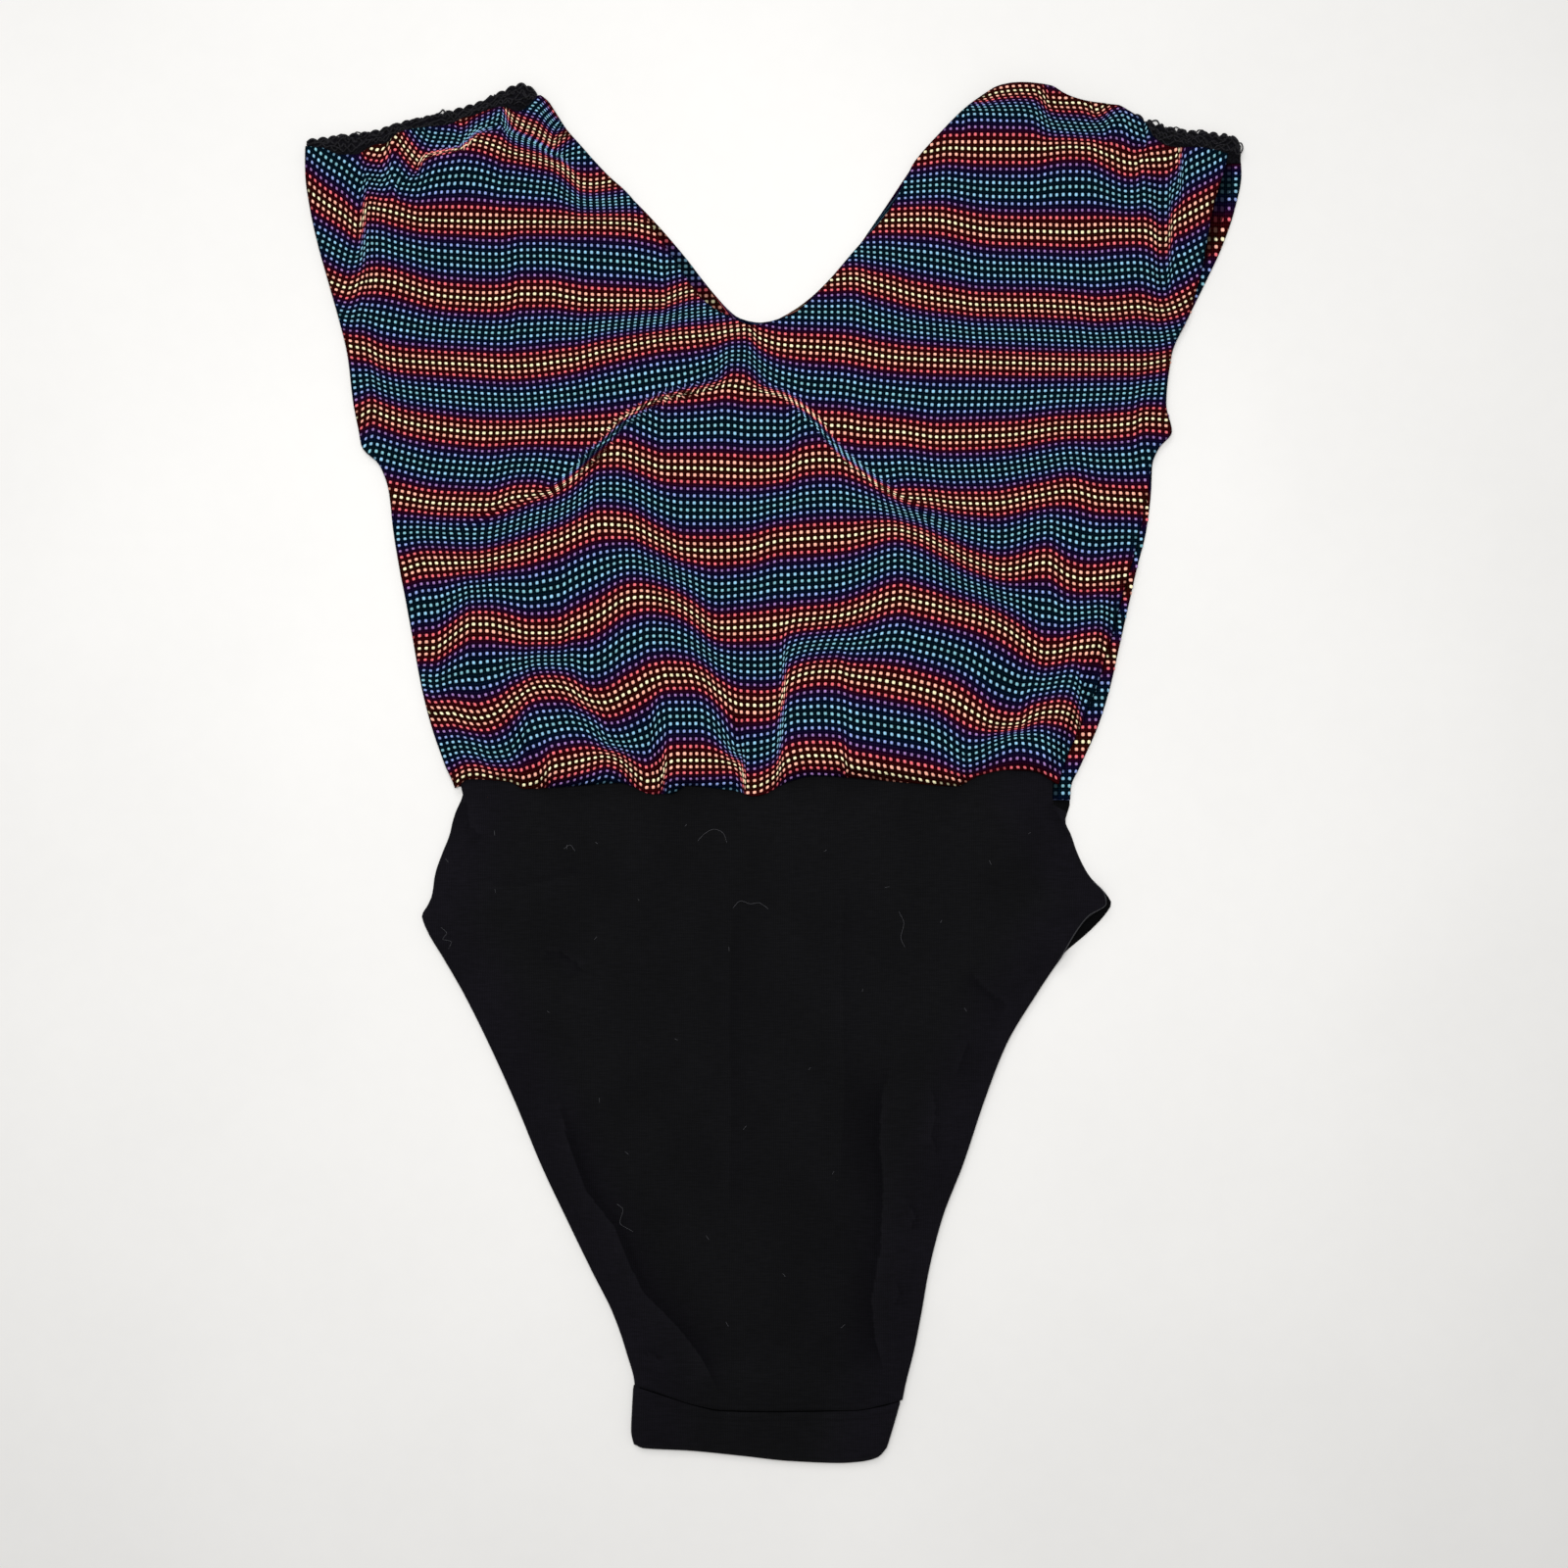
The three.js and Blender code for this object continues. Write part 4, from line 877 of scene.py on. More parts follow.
def closed_sheet(outer, inner, bulge=0.3, coarse=1):
    """Points, faces and the part (0 outer, 1 inner) of a sheet with a rounded rim.

    The inner face keeps every coarse-th row and column of its grid.
    """
    top, rim = grid_faces(*outer.shape[:2])
    inner = inner[::coarse, ::coarse]
    bottom, inner_rim = grid_faces(*inner.shape[:2])
    flat = outer.reshape(-1, 3)
    flat_inner = inner.reshape(-1, 3)
    under = len(flat)
    ahead = flat[np.roll(rim, -1)] - flat[np.roll(rim, 1)]
    out = np.stack([-ahead[:, 1], ahead[:, 0], np.zeros(len(rim))], axis=1)
    out /= np.maximum(np.linalg.norm(out, axis=1, keepdims=True), 1e-9)
    step = np.arange(len(rim))
    low = inner_rim[step // coarse]
    low_after = np.roll(inner_rim, -1)[step // coarse]
    share = ((step % coarse) / coarse)[:, None]
    middle = (flat[rim] + mix(flat_inner[low], flat_inner[low_after], share)) / 2 + out * bulge
    ring = under + len(flat_inner) + step
    after = np.roll(ring, -1)
    upper = np.stack([rim, np.roll(rim, -1), after, ring], axis=1)
    lower = np.stack([ring, after, low + under], axis=1)
    last = step % coarse == coarse - 1
    corner = np.stack([after, low_after + under, low + under], axis=1)[last]
    points = np.concatenate([flat, flat_inner, middle])
    quads = np.concatenate([top, bottom[:, ::-1] + under, upper])
    faces = [*quads.tolist(), *lower.tolist(), *corner.tolist()]
    part = np.zeros(len(faces), int)
    part[len(top):len(top) + len(bottom)] = 1
    rows = np.arange(under).reshape(outer.shape[:2])[::coarse, ::coarse].ravel()
    source = np.concatenate([np.arange(under), rows, rim])
    return points, faces, part, source


# One dot of the knit: an eight-sided foot and a smaller square top, in shares of the pitch
DOT_FOOT = [(0.28, -0.115), (0.28, 0.115), (0.12, 0.27), (-0.12, 0.27),
            (-0.28, 0.115), (-0.28, -0.115), (-0.12, -0.27), (0.12, -0.27)]
DOT_TOP = [(0.165, -0.155), (0.165, 0.155), (-0.165, 0.155), (-0.165, -0.155)]
DOT_FACES = [(0, 1, 9), (0, 9, 8), (1, 2, 9), (2, 3, 10), (2, 10, 9), (3, 4, 10), (4, 5, 11),
             (4, 11, 10), (5, 6, 11), (6, 7, 8), (6, 8, 11), (7, 0, 8), (8, 9, 10), (8, 10, 11),
             (0, 2, 1), (0, 3, 2), (0, 4, 3), (0, 5, 4), (0, 6, 5), (0, 7, 6)]
# The dots that face the floor have a square foot
SQUARE_FOOT = [(0.28, -0.28), (0.28, 0.28), (-0.28, 0.28), (-0.28, -0.28)]
SQUARE_FACES = [(0, 1, 5), (0, 5, 4), (1, 2, 6), (1, 6, 5), (2, 3, 7), (2, 7, 6), (3, 0, 4),
                (3, 4, 7), (4, 5, 6), (4, 6, 7), (0, 2, 1), (0, 3, 2)]
DOT_SUNK = 0.12
DOT_RAISE = 0.42
DOT_SHIFT = 0.02
# Where the cloth is drawn in, stitches tighter than this have no dot
TIGHTEST = 0.22
DOT_WIDTHS = (1.6, 3.8)
DOT_DEPTHS = (1.3, 3.8)
LONGEST_LEAN = 3.4


def there_and_back(half):
    """The twelve rows of a stripe, which run through seven and back again."""
    return half + half[-2:0:-1]


# Size of the dots in each row of a stripe
DOT_SIZES = np.array(there_and_back([1.05, 1.06, 0.97, 0.86, 0.93, 0.99, 0.97]))


def lattice_dots(grid, normals, cloth, inset=1):
    """Where whole stitches and rows meet on a grid: places, directions and cloth numbers."""
    rows, columns = grid.shape[:2]
    index = np.arange(rows * columns).reshape(rows, columns)
    kept = index[inset:rows - inset, inset:columns - inset]
    a, b = kept[:-1, :-1].ravel(), kept[:-1, 1:].ravel()
    c, d = kept[1:, 1:].ravel(), kept[1:, :-1].ravel()
    corners = np.concatenate([np.stack([a, d, c], 1), np.stack([a, c, b], 1)])
    place = grid.reshape(-1, 3)[corners]
    facing = normals.reshape(-1, 3)[corners]
    number = cloth.reshape(-1, 2)[corners]
    low = np.ceil(number.min(1))
    high = number.max(1)
    e1, e2 = place[:, 1] - place[:, 0], place[:, 2] - place[:, 0]
    n1, n2 = number[:, 1] - number[:, 0], number[:, 2] - number[:, 0]
    det = n1[:, 0] * n2[:, 1] - n2[:, 0] * n1[:, 1]
    det = np.where(np.abs(det) < 1e-9, np.nan, det)
    found = []
    for i in range(2):
        for j in range(2):
            want = low + (i, j)
            off = want - number[:, 0]
            s = (off[:, 0] * n2[:, 1] - off[:, 1] * n2[:, 0]) / det
            t = (n1[:, 0] * off[:, 1] - n1[:, 1] * off[:, 0]) / det
            inside = (s >= 0) & (t >= 0) & (s + t <= 1) & (high >= want).all(1)
            k = np.flatnonzero(inside)
            s, t = s[k, None], t[k, None]
            spot = place[k, 0] + s * e1[k] + t * e2[k]
            up = facing[k, 0] * (1 - s - t) + facing[k, 1] * s + facing[k, 2] * t
            across = (e1[k] * n2[k, 1:] - e2[k] * n1[k, 1:]) / det[k, None]
            down = (e2[k] * n1[k, :1] - e1[k] * n2[k, :1]) / det[k, None]
            found.append(np.concatenate([spot, up, across, down, want[k]], axis=1))
    found = np.concatenate(found)
    _, first = np.unique(found[:, 12:], axis=0, return_index=True)
    return found[first]


def dots_mesh(found, foot, faces, draw):
    """Pillow-shaped dots at the places that lattice_dots found."""
    spot, up, across, down, number = np.split(found, [3, 6, 9, 12], axis=1)
    up = up / np.linalg.norm(up, axis=1, keepdims=True)
    across = across - up * (across * up).sum(1, keepdims=True)
    width = np.linalg.norm(across, axis=1, keepdims=True)
    ahead = across / width
    side = np.cross(up, ahead)
    depth = (down * side).sum(1, keepdims=True)
    lean = (down * ahead).sum(1, keepdims=True) * np.sign(depth)
    depth = np.abs(depth)
    seen = (width > TIGHTEST) & (depth > TIGHTEST)
    spot, up, ahead, side, width, depth, lean, number = (
        values[seen[:, 0]] for values in (spot, up, ahead, side, width, depth, lean, number))
    width = np.clip(width, *DOT_WIDTHS)
    depth = np.clip(depth, *DOT_DEPTHS)
    lean = np.clip(lean, -LONGEST_LEAN, LONGEST_LEAN)
    row_size = DOT_SIZES[np.mod(np.rint(number[:, 1]), ROWS_IN_STRIPE).astype(int)][:, None]
    size = row_size * draw.uniform(0.96, 1.04, (len(spot), 1))
    shift = draw.uniform(-DOT_SHIFT, DOT_SHIFT, (len(spot), 2)) * DOT_PITCH
    spot = spot + ahead * shift[:, :1] + side * shift[:, 1:]
    shape = [(s, t, -DOT_SUNK) for s, t in foot] + [(s, t, DOT_RAISE) for s, t in DOT_TOP]
    points = np.stack([
        spot + ahead * (s * width + t * lean) * size + side * t * depth * size + up * h
        for s, t, h in shape], axis=1)
    count = len(shape)
    first = np.arange(len(spot))[:, None, None] * count
    all_faces = (first + np.array(faces)[None]).reshape(-1, 3)
    return points.reshape(-1, 3), all_faces, np.repeat(number, count, axis=0)


def linear(colour):
    """Linear value of a screen colour."""
    return tuple(c / 12.92 if c <= 0.04045 else ((c + 0.055) / 1.055) ** 2.4 for c in colour)


# Colours of the dots, and of the net between them
YELLOW = (1.0, 0.96, 0.78)
SALMON = (1.0, 0.71, 0.62)
RED = (0.93, 0.42, 0.46)
PURPLE = (0.60, 0.45, 0.69)
BLUE = (0.54, 0.62, 0.84)
CYAN = (0.54, 0.75, 0.86)
TEAL = (0.49, 0.72, 0.77)
HALF_STRIPE = [YELLOW, SALMON, RED, PURPLE, BLUE, CYAN, TEAL]
HALF_GROUND = [(0.21, 0.09, 0.05), (0.28, 0.06, 0.06), (0.28, 0.03, 0.08), (0.15, 0.05, 0.23),
               (0.05, 0.09, 0.23), (0.03, 0.12, 0.19), (0.03, 0.13, 0.17)]
ROW_COLOURS = there_and_back(HALF_STRIPE)
GROUND_TINTS = there_and_back(HALF_GROUND)


class Nodes:
    """Short calls for building a material's node tree."""

    def __init__(self, name):
        self.material = bpy.data.materials.new(name)
        self.material.use_nodes = True
        self.tree = self.material.node_tree
        self.tree.nodes.clear()
        self.output = self.new("OutputMaterial")
        self.shader = self.new("BsdfPrincipled")
        self.tree.links.new(self.shader.outputs[0], self.output.inputs[0])

    def new(self, kind, **settings):
        node = self.tree.nodes.new("ShaderNode" + kind)
        for name, value in settings.items():
            setattr(node, name, value)
        return node

    def put(self, socket, value):
        if isinstance(value, bpy.types.NodeSocket):
            self.tree.links.new(value, socket)
        elif isinstance(value, tuple) and len(value) == 3 and socket.type == "RGBA":
            socket.default_value = (*value, 1)
        else:
            socket.default_value = value

    def fill(self, node, *values):
        for socket, value in zip(node.inputs, values):
            self.put(socket, value)
        return node.outputs[0]

    def math(self, operation, a, b=0.0):
        return self.fill(self.new("Math", operation=operation), a, b)

    def plus(self, a, b):
        return self.math("ADD", a, b)

    def times(self, a, b):
        return self.math("MULTIPLY", a, b)

    def join(self, x, y, z=0.0):
        return self.fill(self.new("CombineXYZ"), x, y, z)

    def split(self, vector):
        node = self.new("SeparateXYZ")
        self.put(node.inputs[0], vector)
        return node.outputs[:]

    def mix(self, share, a, b, blend="MIX"):
        node = self.new("Mix", data_type="RGBA", blend_type=blend, clamp_result=False)
        for k, value in ((0, share), (6, a), (7, b)):
            self.put(node.inputs[k], value)
        return node.outputs[2]

    def shaded(self, colour, shade):
        """A colour made darker or lighter by a number."""
        return self.mix(1.0, colour, self.join(shade, shade, shade), "MULTIPLY")

    def remap(self, value, low, high, to_low=0.0, to_high=1.0, smooth=True):
        kind = "SMOOTHSTEP" if smooth else "LINEAR"
        node = self.new("MapRange", interpolation_type=kind)
        return self.fill(node, value, low, high, to_low, to_high)

    def cloth(self):
        """Stitch and row number."""
        return self.split(self.new("UVMap", uv_map="cloth").outputs[0])[:2]

    def attribute(self, name):
        return self.new("Attribute", attribute_name=name).outputs["Fac"]

    def place(self, scale=1000.0):
        """Place on the piece, in millimetres unless another scale is given."""
        node = self.new("Mapping")
        node.inputs["Scale"].default_value = scale if isinstance(scale, tuple) else (scale,) * 3
        self.put(node.inputs[0], self.new("TexCoord").outputs["Object"])
        return node.outputs[0]

    def noise(self, scale, detail=2.0, roughness=0.5):
        """Noise over the piece, with so many lumps to the metre along all or each of the axes."""
        node = self.new("TexNoise")
        self.put(node.inputs["Vector"], self.place(scale))
        for name, value in (("Scale", 1.0), ("Detail", detail), ("Roughness", roughness)):
            node.inputs[name].default_value = value
        return node.outputs[0]

    def scatter(self, vector):
        node = self.new("TexWhiteNoise", noise_dimensions="3D")
        self.put(node.inputs["Vector"], vector)
        return node.outputs[0]

    def ramp(self, value, stops, interpolation):
        node = self.new("ValToRGB")
        node.color_ramp.interpolation = interpolation
        elements = node.color_ramp.elements
        while len(elements) < len(stops):
            elements.new(0.5)
        for element, (position, colour) in zip(elements, stops):
            element.position = position
            element.color = (*colour, 1)
        return self.fill(node, value)

    def bump(self, height, distance):
        node = self.new("Bump")
        node.inputs["Distance"].default_value = distance * MM
        node.inputs["Strength"].default_value = 1.0
        self.put(node.inputs["Height"], height)
        self.put(self.shader.inputs["Normal"], node.outputs[0])

    def finish(self, **values):
        for name, value in values.items():
            self.put(self.shader.inputs[name.replace("_", " ")], value)
        return self.material


def row_share(n, row):
    """Where a row stands in its stripe, from 0 to 1, the same all over one row of dots."""
    whole = n.math("FLOOR", n.plus(row, 0.5))
    in_stripe = n.math("FLOORED_MODULO", whole, ROWS_IN_STRIPE)
    return n.math("DIVIDE", n.plus(in_stripe, 0.5), ROWS_IN_STRIPE)


def stripe_stops(colours, strength=1.0):
    """Stops of a colour ramp, one for each row of a stripe."""
    return [(i / ROWS_IN_STRIPE, tuple(strength * c for c in linear(colour)))
            for i, colour in enumerate(colours)]


def dot_mask(n, stitch, row, low, high):
    """One over a dot and nought between dots, as a rounded square."""
    cubes = []
    for number in (stitch, row):
        off = n.math("SUBTRACT", n.math("FRACT", n.plus(number, 0.5)), 0.5)
        cubes.append(n.math("POWER", n.math("ABSOLUTE", off), 3.0))
    return n.remap(n.math("POWER", n.plus(*cubes), 1 / 3), low, high, 1.0, 0.0)


# The wrong side shows its dots at the neck; towards the open armhole they are darkened as painted
# shade
NECK_SIDE = -40.0
ARMHOLE_SIDE = 120.0
# Threads of the net for each stitch and row
NET_THREADS = 3


def knit_ground(name, dot_strength, ground_strength, mask_low, mask_high, armhole_shade_share=1.0):
    """The dark net between the dots, with each dot's own colour under it."""
    n = Nodes(name)
    stitch, row = n.cloth()
    mask = dot_mask(n, stitch, row, mask_low, mask_high)
    stripe = n.math("DIVIDE", n.math("FLOORED_MODULO", row, ROWS_IN_STRIPE), ROWS_IN_STRIPE)
    tints = stripe_stops([*GROUND_TINTS, GROUND_TINTS[0]], ground_strength)
    ground = n.ramp(stripe, tints, "LINEAR")
    dots = n.ramp(row_share(n, row), stripe_stops(ROW_COLOURS, dot_strength), "CONSTANT")
    # Painted shade: the dots darken across the piece to armhole_shade_share towards the armhole
    across = n.split(n.place())[0]
    dots = n.shaded(dots, n.remap(across, NECK_SIDE, ARMHOLE_SIDE, 1.0, armhole_shade_share))
    net, bars = (n.math("ABSOLUTE", n.math("SINE", n.times(number, NET_THREADS * math.pi)))
                 for number in (stitch, row))
    weave = n.times(n.plus(net, bars), 0.5)
    ground = n.shaded(ground, n.remap(weave, 0.1, 0.9, 0.15, 1.2))
    height = n.plus(n.times(mask, 0.5), n.times(weave, 0.35))
    n.bump(n.plus(height, n.times(n.noise(1600.0, 3.0), 0.2)), 0.35)
    return n.finish(Base_Color=n.mix(mask, ground, dots), Roughness=0.95,
                    Specular_IOR_Level=0.0)


def dot_yarn():
    """The bright floats that make the dots, each a little lighter or darker."""
    n = Nodes("dot_yarn")
    stitch, row = n.cloth()
    colour = n.ramp(row_share(n, row), stripe_stops(ROW_COLOURS), "CONSTANT")
    whole = n.join(n.math("ROUND", stitch), n.math("ROUND", row))
    lift = n.remap(n.scatter(whole), 0.0, 1.0, 0.92, 1.26, smooth=False)
    strands = n.noise((2600.0, 700.0, 1600.0))
    colour = n.shaded(colour, n.times(lift, n.remap(strands, 0.3, 0.7, 0.9, 1.07)))
    n.bump(strands, 0.08)
    return n.finish(Base_Color=colour, Roughness=0.72, Specular_IOR_Level=0.25,
                    Sheen_Weight=0.1, Sheen_Roughness=0.4)


RIB_PITCH = 0.9
COURSE_PITCH = 0.7
# The jersey is painted with a violet sheen at the side, where the cloth rounds, turning to its own
# black further in
SHEEN_TINT_FROM = 8.0
SHEEN_TINT_TO = 44.0
SPECK_COLOUR = (0.04, 0.04, 0.045)


def jersey(name, base, violet, sheen):
    """Black single jersey: fine upright ribs, a little fuzz, painted crease shade and painted side
    sheen.
    """
    n = Nodes(name)
    x, y, _ = n.split(n.place())
    wander = n.times(n.noise(60.0), 1.2)
    ribs = n.math("SINE", n.times(n.plus(x, wander), 2 * math.pi / RIB_PITCH))
    courses = n.math("SINE", n.times(y, 2 * math.pi / COURSE_PITCH))
    knit = n.times(n.plus(ribs, n.times(courses, 0.4)), 0.5)
    streaks = n.noise((700.0, 160.0, 400.0), 3.0)
    clouds = n.noise((28.0, 22.0, 28.0), 3.0)
    grain = n.noise((130.0, 1600.0, 400.0))
    fuzz = n.noise(1200.0, 4.0, 0.7)
    speck = n.remap(n.noise(420.0, 2.0, 0.8), 0.76, 0.80)
    # Painted shade on the dark side of each crease and painted light on the other
    painted_crease_shading = n.attribute("painted_crease_shading")
    shade = n.remap(streaks, 0.25, 0.75, 0.92, 1.09)
    for part in (n.remap(clouds, 0.3, 0.7, 0.88, 1.14),
                 n.remap(knit, -0.7, 0.7, 0.7, 1.25),
                 n.remap(grain, 0.3, 0.7, 0.80, 1.18),
                 n.remap(painted_crease_shading, -1.0, 1.0, 1.5, 0.5, smooth=False)):
        shade = n.times(shade, part)
    # Painted sheen: a violet tint at the side, also mixed into the painted crease shade
    painted_tint = n.mix(n.remap(n.attribute("inset"), SHEEN_TINT_FROM, SHEEN_TINT_TO), violet, base)
    painted_tint = n.mix(n.math("ABSOLUTE", painted_crease_shading), painted_tint, violet)
    colour = n.mix(n.times(speck, 0.25), n.shaded(painted_tint, shade), SPECK_COLOUR)
    n.bump(n.plus(n.times(knit, 0.5), n.times(fuzz, 0.6)), 0.22)
    # Painted highlight: the gloss is raised on the light side of a crease and lowered in its
    # painted shade
    gloss = n.remap(painted_crease_shading, -1.0, 1.0, 1.4, 0.6, smooth=False)
    return n.finish(Base_Color=colour, Roughness=0.88, Specular_IOR_Level=n.times(gloss, 0.08),
                    Sheen_Weight=n.times(gloss, sheen), Sheen_Roughness=0.45)


def lace_yarn(name, base, shine, sheen):
    n = Nodes(name)
    twist = n.noise(900.0, 3.0)
    n.bump(n.plus(twist, n.times(n.noise(3000.0), 0.5)), 0.3)
    return n.finish(Base_Color=n.shaded(base, n.remap(twist, 0.35, 0.65, 0.25, 1.6)),
                    Roughness=0.7, Specular_IOR_Level=shine, Sheen_Weight=sheen,
                    Sheen_Roughness=0.4)


def thread(name, colour, shine=0.3):
    n = Nodes(name)
    twist = n.noise(2400.0)
    n.bump(twist, 0.15)
    return n.finish(Base_Color=n.shaded(colour, n.remap(twist, 0.3, 0.7, 0.7, 1.3)),
                    Roughness=0.6, Specular_IOR_Level=shine)


knit_right_side = knit_ground(
    "knit_right_side", dot_strength=0.5, ground_strength=0.40, mask_low=0.12, mask_high=0.24)
# The wrong side's dots take painted shade towards the open armhole
knit_wrong_side = knit_ground(
    "knit_wrong_side", dot_strength=0.38, ground_strength=0.22, mask_low=0.16, mask_high=0.34,
    armhole_shade_share=0.2)
yarn = dot_yarn()
black_jersey = jersey("black_jersey", (0.0034, 0.0034, 0.0041), (0.0040, 0.0035, 0.0056), 0.020)
# A darker copy of the jersey: painted shade on the inner faces, seen where the back brief shows in
# the leg opening
jersey_inside_painted_shade = jersey(
    "jersey_inside_painted_shade", (0.0010, 0.0010, 0.0013), (0.0010, 0.0010, 0.0014), 0.0)
black_lace = lace_yarn("lace_ground", (0.0028, 0.0026, 0.0042), 0.05, 0.006)
lace_cord = lace_yarn("lace_cord", (0.0080, 0.0075, 0.0100), 0.16, 0.026)
# A lighter jersey colour: painted highlight on the rim at the right hip
painted_rim_highlight = thread("painted_rim_highlight", (0.019, 0.019, 0.023))
# Near-black with no shine: painted shadow in the crotch seam
painted_seam_shadow = thread("painted_seam_shadow", (0.0008, 0.0008, 0.0010), 0.0)
lint_fibre = thread("lint_fibre", (0.09, 0.09, 0.10))


MAP_CORNER = (-245.0, -25.0)
MAP_SIDE = 490.0


def planar(points):
    """A flat map of the bodice from above, for dots that never cover each other."""
    return np.clip((points[:, :2] - MAP_CORNER) / MAP_SIDE, 0.001, 0.999)


def dots_piece(name, found, foot, faces):
    """The dots of a panel as one piece, none of them below the floor."""
    points, faces, number = dots_mesh(found, foot, faces, draw)
    points[:, 2] = np.maximum(points[:, 2], 0.0)
    return new_object(name, points, faces, [yarn], cloth=number, spread=planar(points))


# Front bodice
FRONT_COLUMNS = 330
FRONT_ROWS = 258
INNER_SHARE = 3
front_weave = Weave(front_bodice_height)
front_grid = panel_grid(
    bodice_left, bodice_front_right,
    [*FRONT_SHOULDER_LEFT, *FRONT_NECK, *FRONT_SHOULDER_RIGHT], FRONT_WAIST,
    even(FRONT_COLUMNS), even(FRONT_ROWS), front_bodice_height)
front_normals = grid_normals(front_grid)
front_cloth = front_weave.at(*seen_at(*np.moveaxis(front_grid, -1, 0)))
points, faces, part, source = closed_sheet(
    front_grid, front_grid - front_normals * CLOTH, coarse=INNER_SHARE)
front_bodice = new_object(
    "bodice_front", points, faces, [knit_right_side, knit_wrong_side], part,
    cloth=front_cloth.reshape(-1, 2)[source])
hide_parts("front_bodice")

draw = np.random.default_rng(20)
found = lattice_dots(front_grid, front_normals, front_cloth)
SPLIT_ROW = 45
upper = found[:, -1] < SPLIT_ROW
front_dots = [dots_piece("dots_front_upper", found[upper], DOT_FOOT, DOT_FACES),
              dots_piece("dots_front_lower", found[~upper], DOT_FOOT, DOT_FACES)]

# Back bodice: its right side faces the floor, and shows from above where it wraps the side
# seam and where its hem turns in at the open armhole
BACK_LIFT = 0.42
# The hidden folds of the back stay inside these distances and heights
FLAT_SIDE = 6
BACK_FOLDS_LOW = -2
BACK_FOLDS_HIGH = 312
BRIEF_FOLDS_LOW = -312
BRIEF_FOLDS_HIGH = -24
FLAT_RUN = 14


def back_under(x, y):
    side = from_sides(bodice_left, bodice_back_right, x, y)
    rim = (smooth_step((side - FLAT_SIDE) / 16) * smooth_step((y - BACK_FOLDS_LOW) / 12)
           * smooth_step((BACK_FOLDS_HIGH - y) / FLAT_RUN))
    return BACK_LIFT + rim * folds_height(BACK_FOLDS, x, y)


BACK_COLUMNS = 150
BACK_ROWS = 150
back_top_edge = [*lowered(LACE_LEFT_EDGE[:-1], 3), *BACK_NECK, *lowered(LACE_RIGHT_EDGE[1:], 3)]
back_under_grid = panel_grid(
    bodice_left, bodice_back_right, back_top_edge, BACK_WAIST,
    even(BACK_COLUMNS), even(BACK_ROWS), back_under)

# The last columns of the upper side make the roll: from its foot over the crown to the edge
ROLL_COLUMNS = 12
# How far in from the edge the roll's foot stands, as a share of its width
ROLL_FOOT = 1.02
edge_y = back_under_grid[:, -1, 1]
width, rise = back_right_band(edge_y)
flat_columns = BACK_COLUMNS - ROLL_COLUMNS
flat_share = 1 - width * (2 * ROLL_FOOT - 1) / (bodice_back_right(edge_y) - bodice_left(edge_y))
back_upper_grid = panel_grid(
    bodice_left, bodice_back_right, back_top_edge, BACK_WAIST,
    even(BACK_COLUMNS)[None, :] * (flat_share * BACK_COLUMNS / flat_columns)[:, None],
    even(BACK_ROWS), lambda x, y: back_under(x, y) + CLOTH - BACK_LIFT)
for k in range(ROLL_COLUMNS + 1):
    share = 1 - k / ROLL_COLUMNS
    crown = np.sqrt(np.clip(1 - (2 * share - 1) ** 2, 0, 1)) ** 0.8
    roll_x = bodice_back_right(edge_y) - width * ROLL_FOOT * share
    roll_z = BACK_TOP - 0.15 * (share == 0) + rise * crown
    back_upper_grid[:, flat_columns + k] = np.stack([roll_x, edge_y, roll_z], axis=-1)


# The rows of the back run between those of the front at these two places
ROWS_LEFT_X = -190.0
ROWS_RIGHT_X = 172.0
# Inside the open armhole they stand this much further on
ARMHOLE_ROWS = 2.5
# Below this height the strip of the back that shows on the right has evenly spaced rows
STRIP_TOP = 60.5
STRIP_ROW = 84
STRIP_PITCH = 3.75


def back_cloth(grid):
    x, y = grid[..., 0], grid[..., 1]
    left, right = (front_weave.at(np.full(y.shape, place), y)[..., 1]
                   for place in (ROWS_LEFT_X, ROWS_RIGHT_X))
    share = smooth_step((x - ROWS_LEFT_X) / (ROWS_RIGHT_X - ROWS_LEFT_X))
    row = mix(left, right, share) - 1 + ripple(x, y, seed=5, scale=120, height=2.2)
    row += ARMHOLE_ROWS * smooth_step((y - 270) / 30) * smooth_step((x - 150) / 30)
    low_strip = smooth_step((STRIP_TOP - y) / 8) * smooth_step((x - 120) / 20)
    row = mix(row, STRIP_ROW + (STRIP_TOP - y) / STRIP_PITCH, low_strip)
    stitch = x / DOT_PITCH + ripple(x, y, seed=8, scale=160, height=1.5)
    return np.stack([stitch, row], axis=-1)


upper_cloth = back_cloth(back_upper_grid)
under_cloth = back_cloth(back_under_grid)
points, faces, _, source = closed_sheet(back_upper_grid, back_under_grid)
# Above, all but the roll shows the wrong side
face_column = np.tile(np.arange(BACK_COLUMNS), BACK_ROWS)
slots = np.zeros(len(faces), int)
slots[:len(face_column)] = face_column < flat_columns
flat_upper, flat_under = upper_cloth.reshape(-1, 2), under_cloth.reshape(-1, 2)
cloth = np.concatenate([flat_upper, flat_under, flat_upper[source[2 * len(flat_upper):]]])
back_bodice = new_object(
    "bodice_back", points, faces, [knit_right_side, knit_wrong_side], slots, cloth=cloth)
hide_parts("back_bodice")

found = lattice_dots(back_under_grid, -grid_normals(back_under_grid), under_cloth)
dots_back = dots_piece("dots_back", found, SQUARE_FOOT, SQUARE_FACES)
roll_grid = back_upper_grid[:, flat_columns:]
found = lattice_dots(roll_grid, grid_normals(roll_grid), upper_cloth[:, flat_columns:], 0)
dots_roll = dots_piece("dots_roll", found, DOT_FOOT, DOT_FACES)


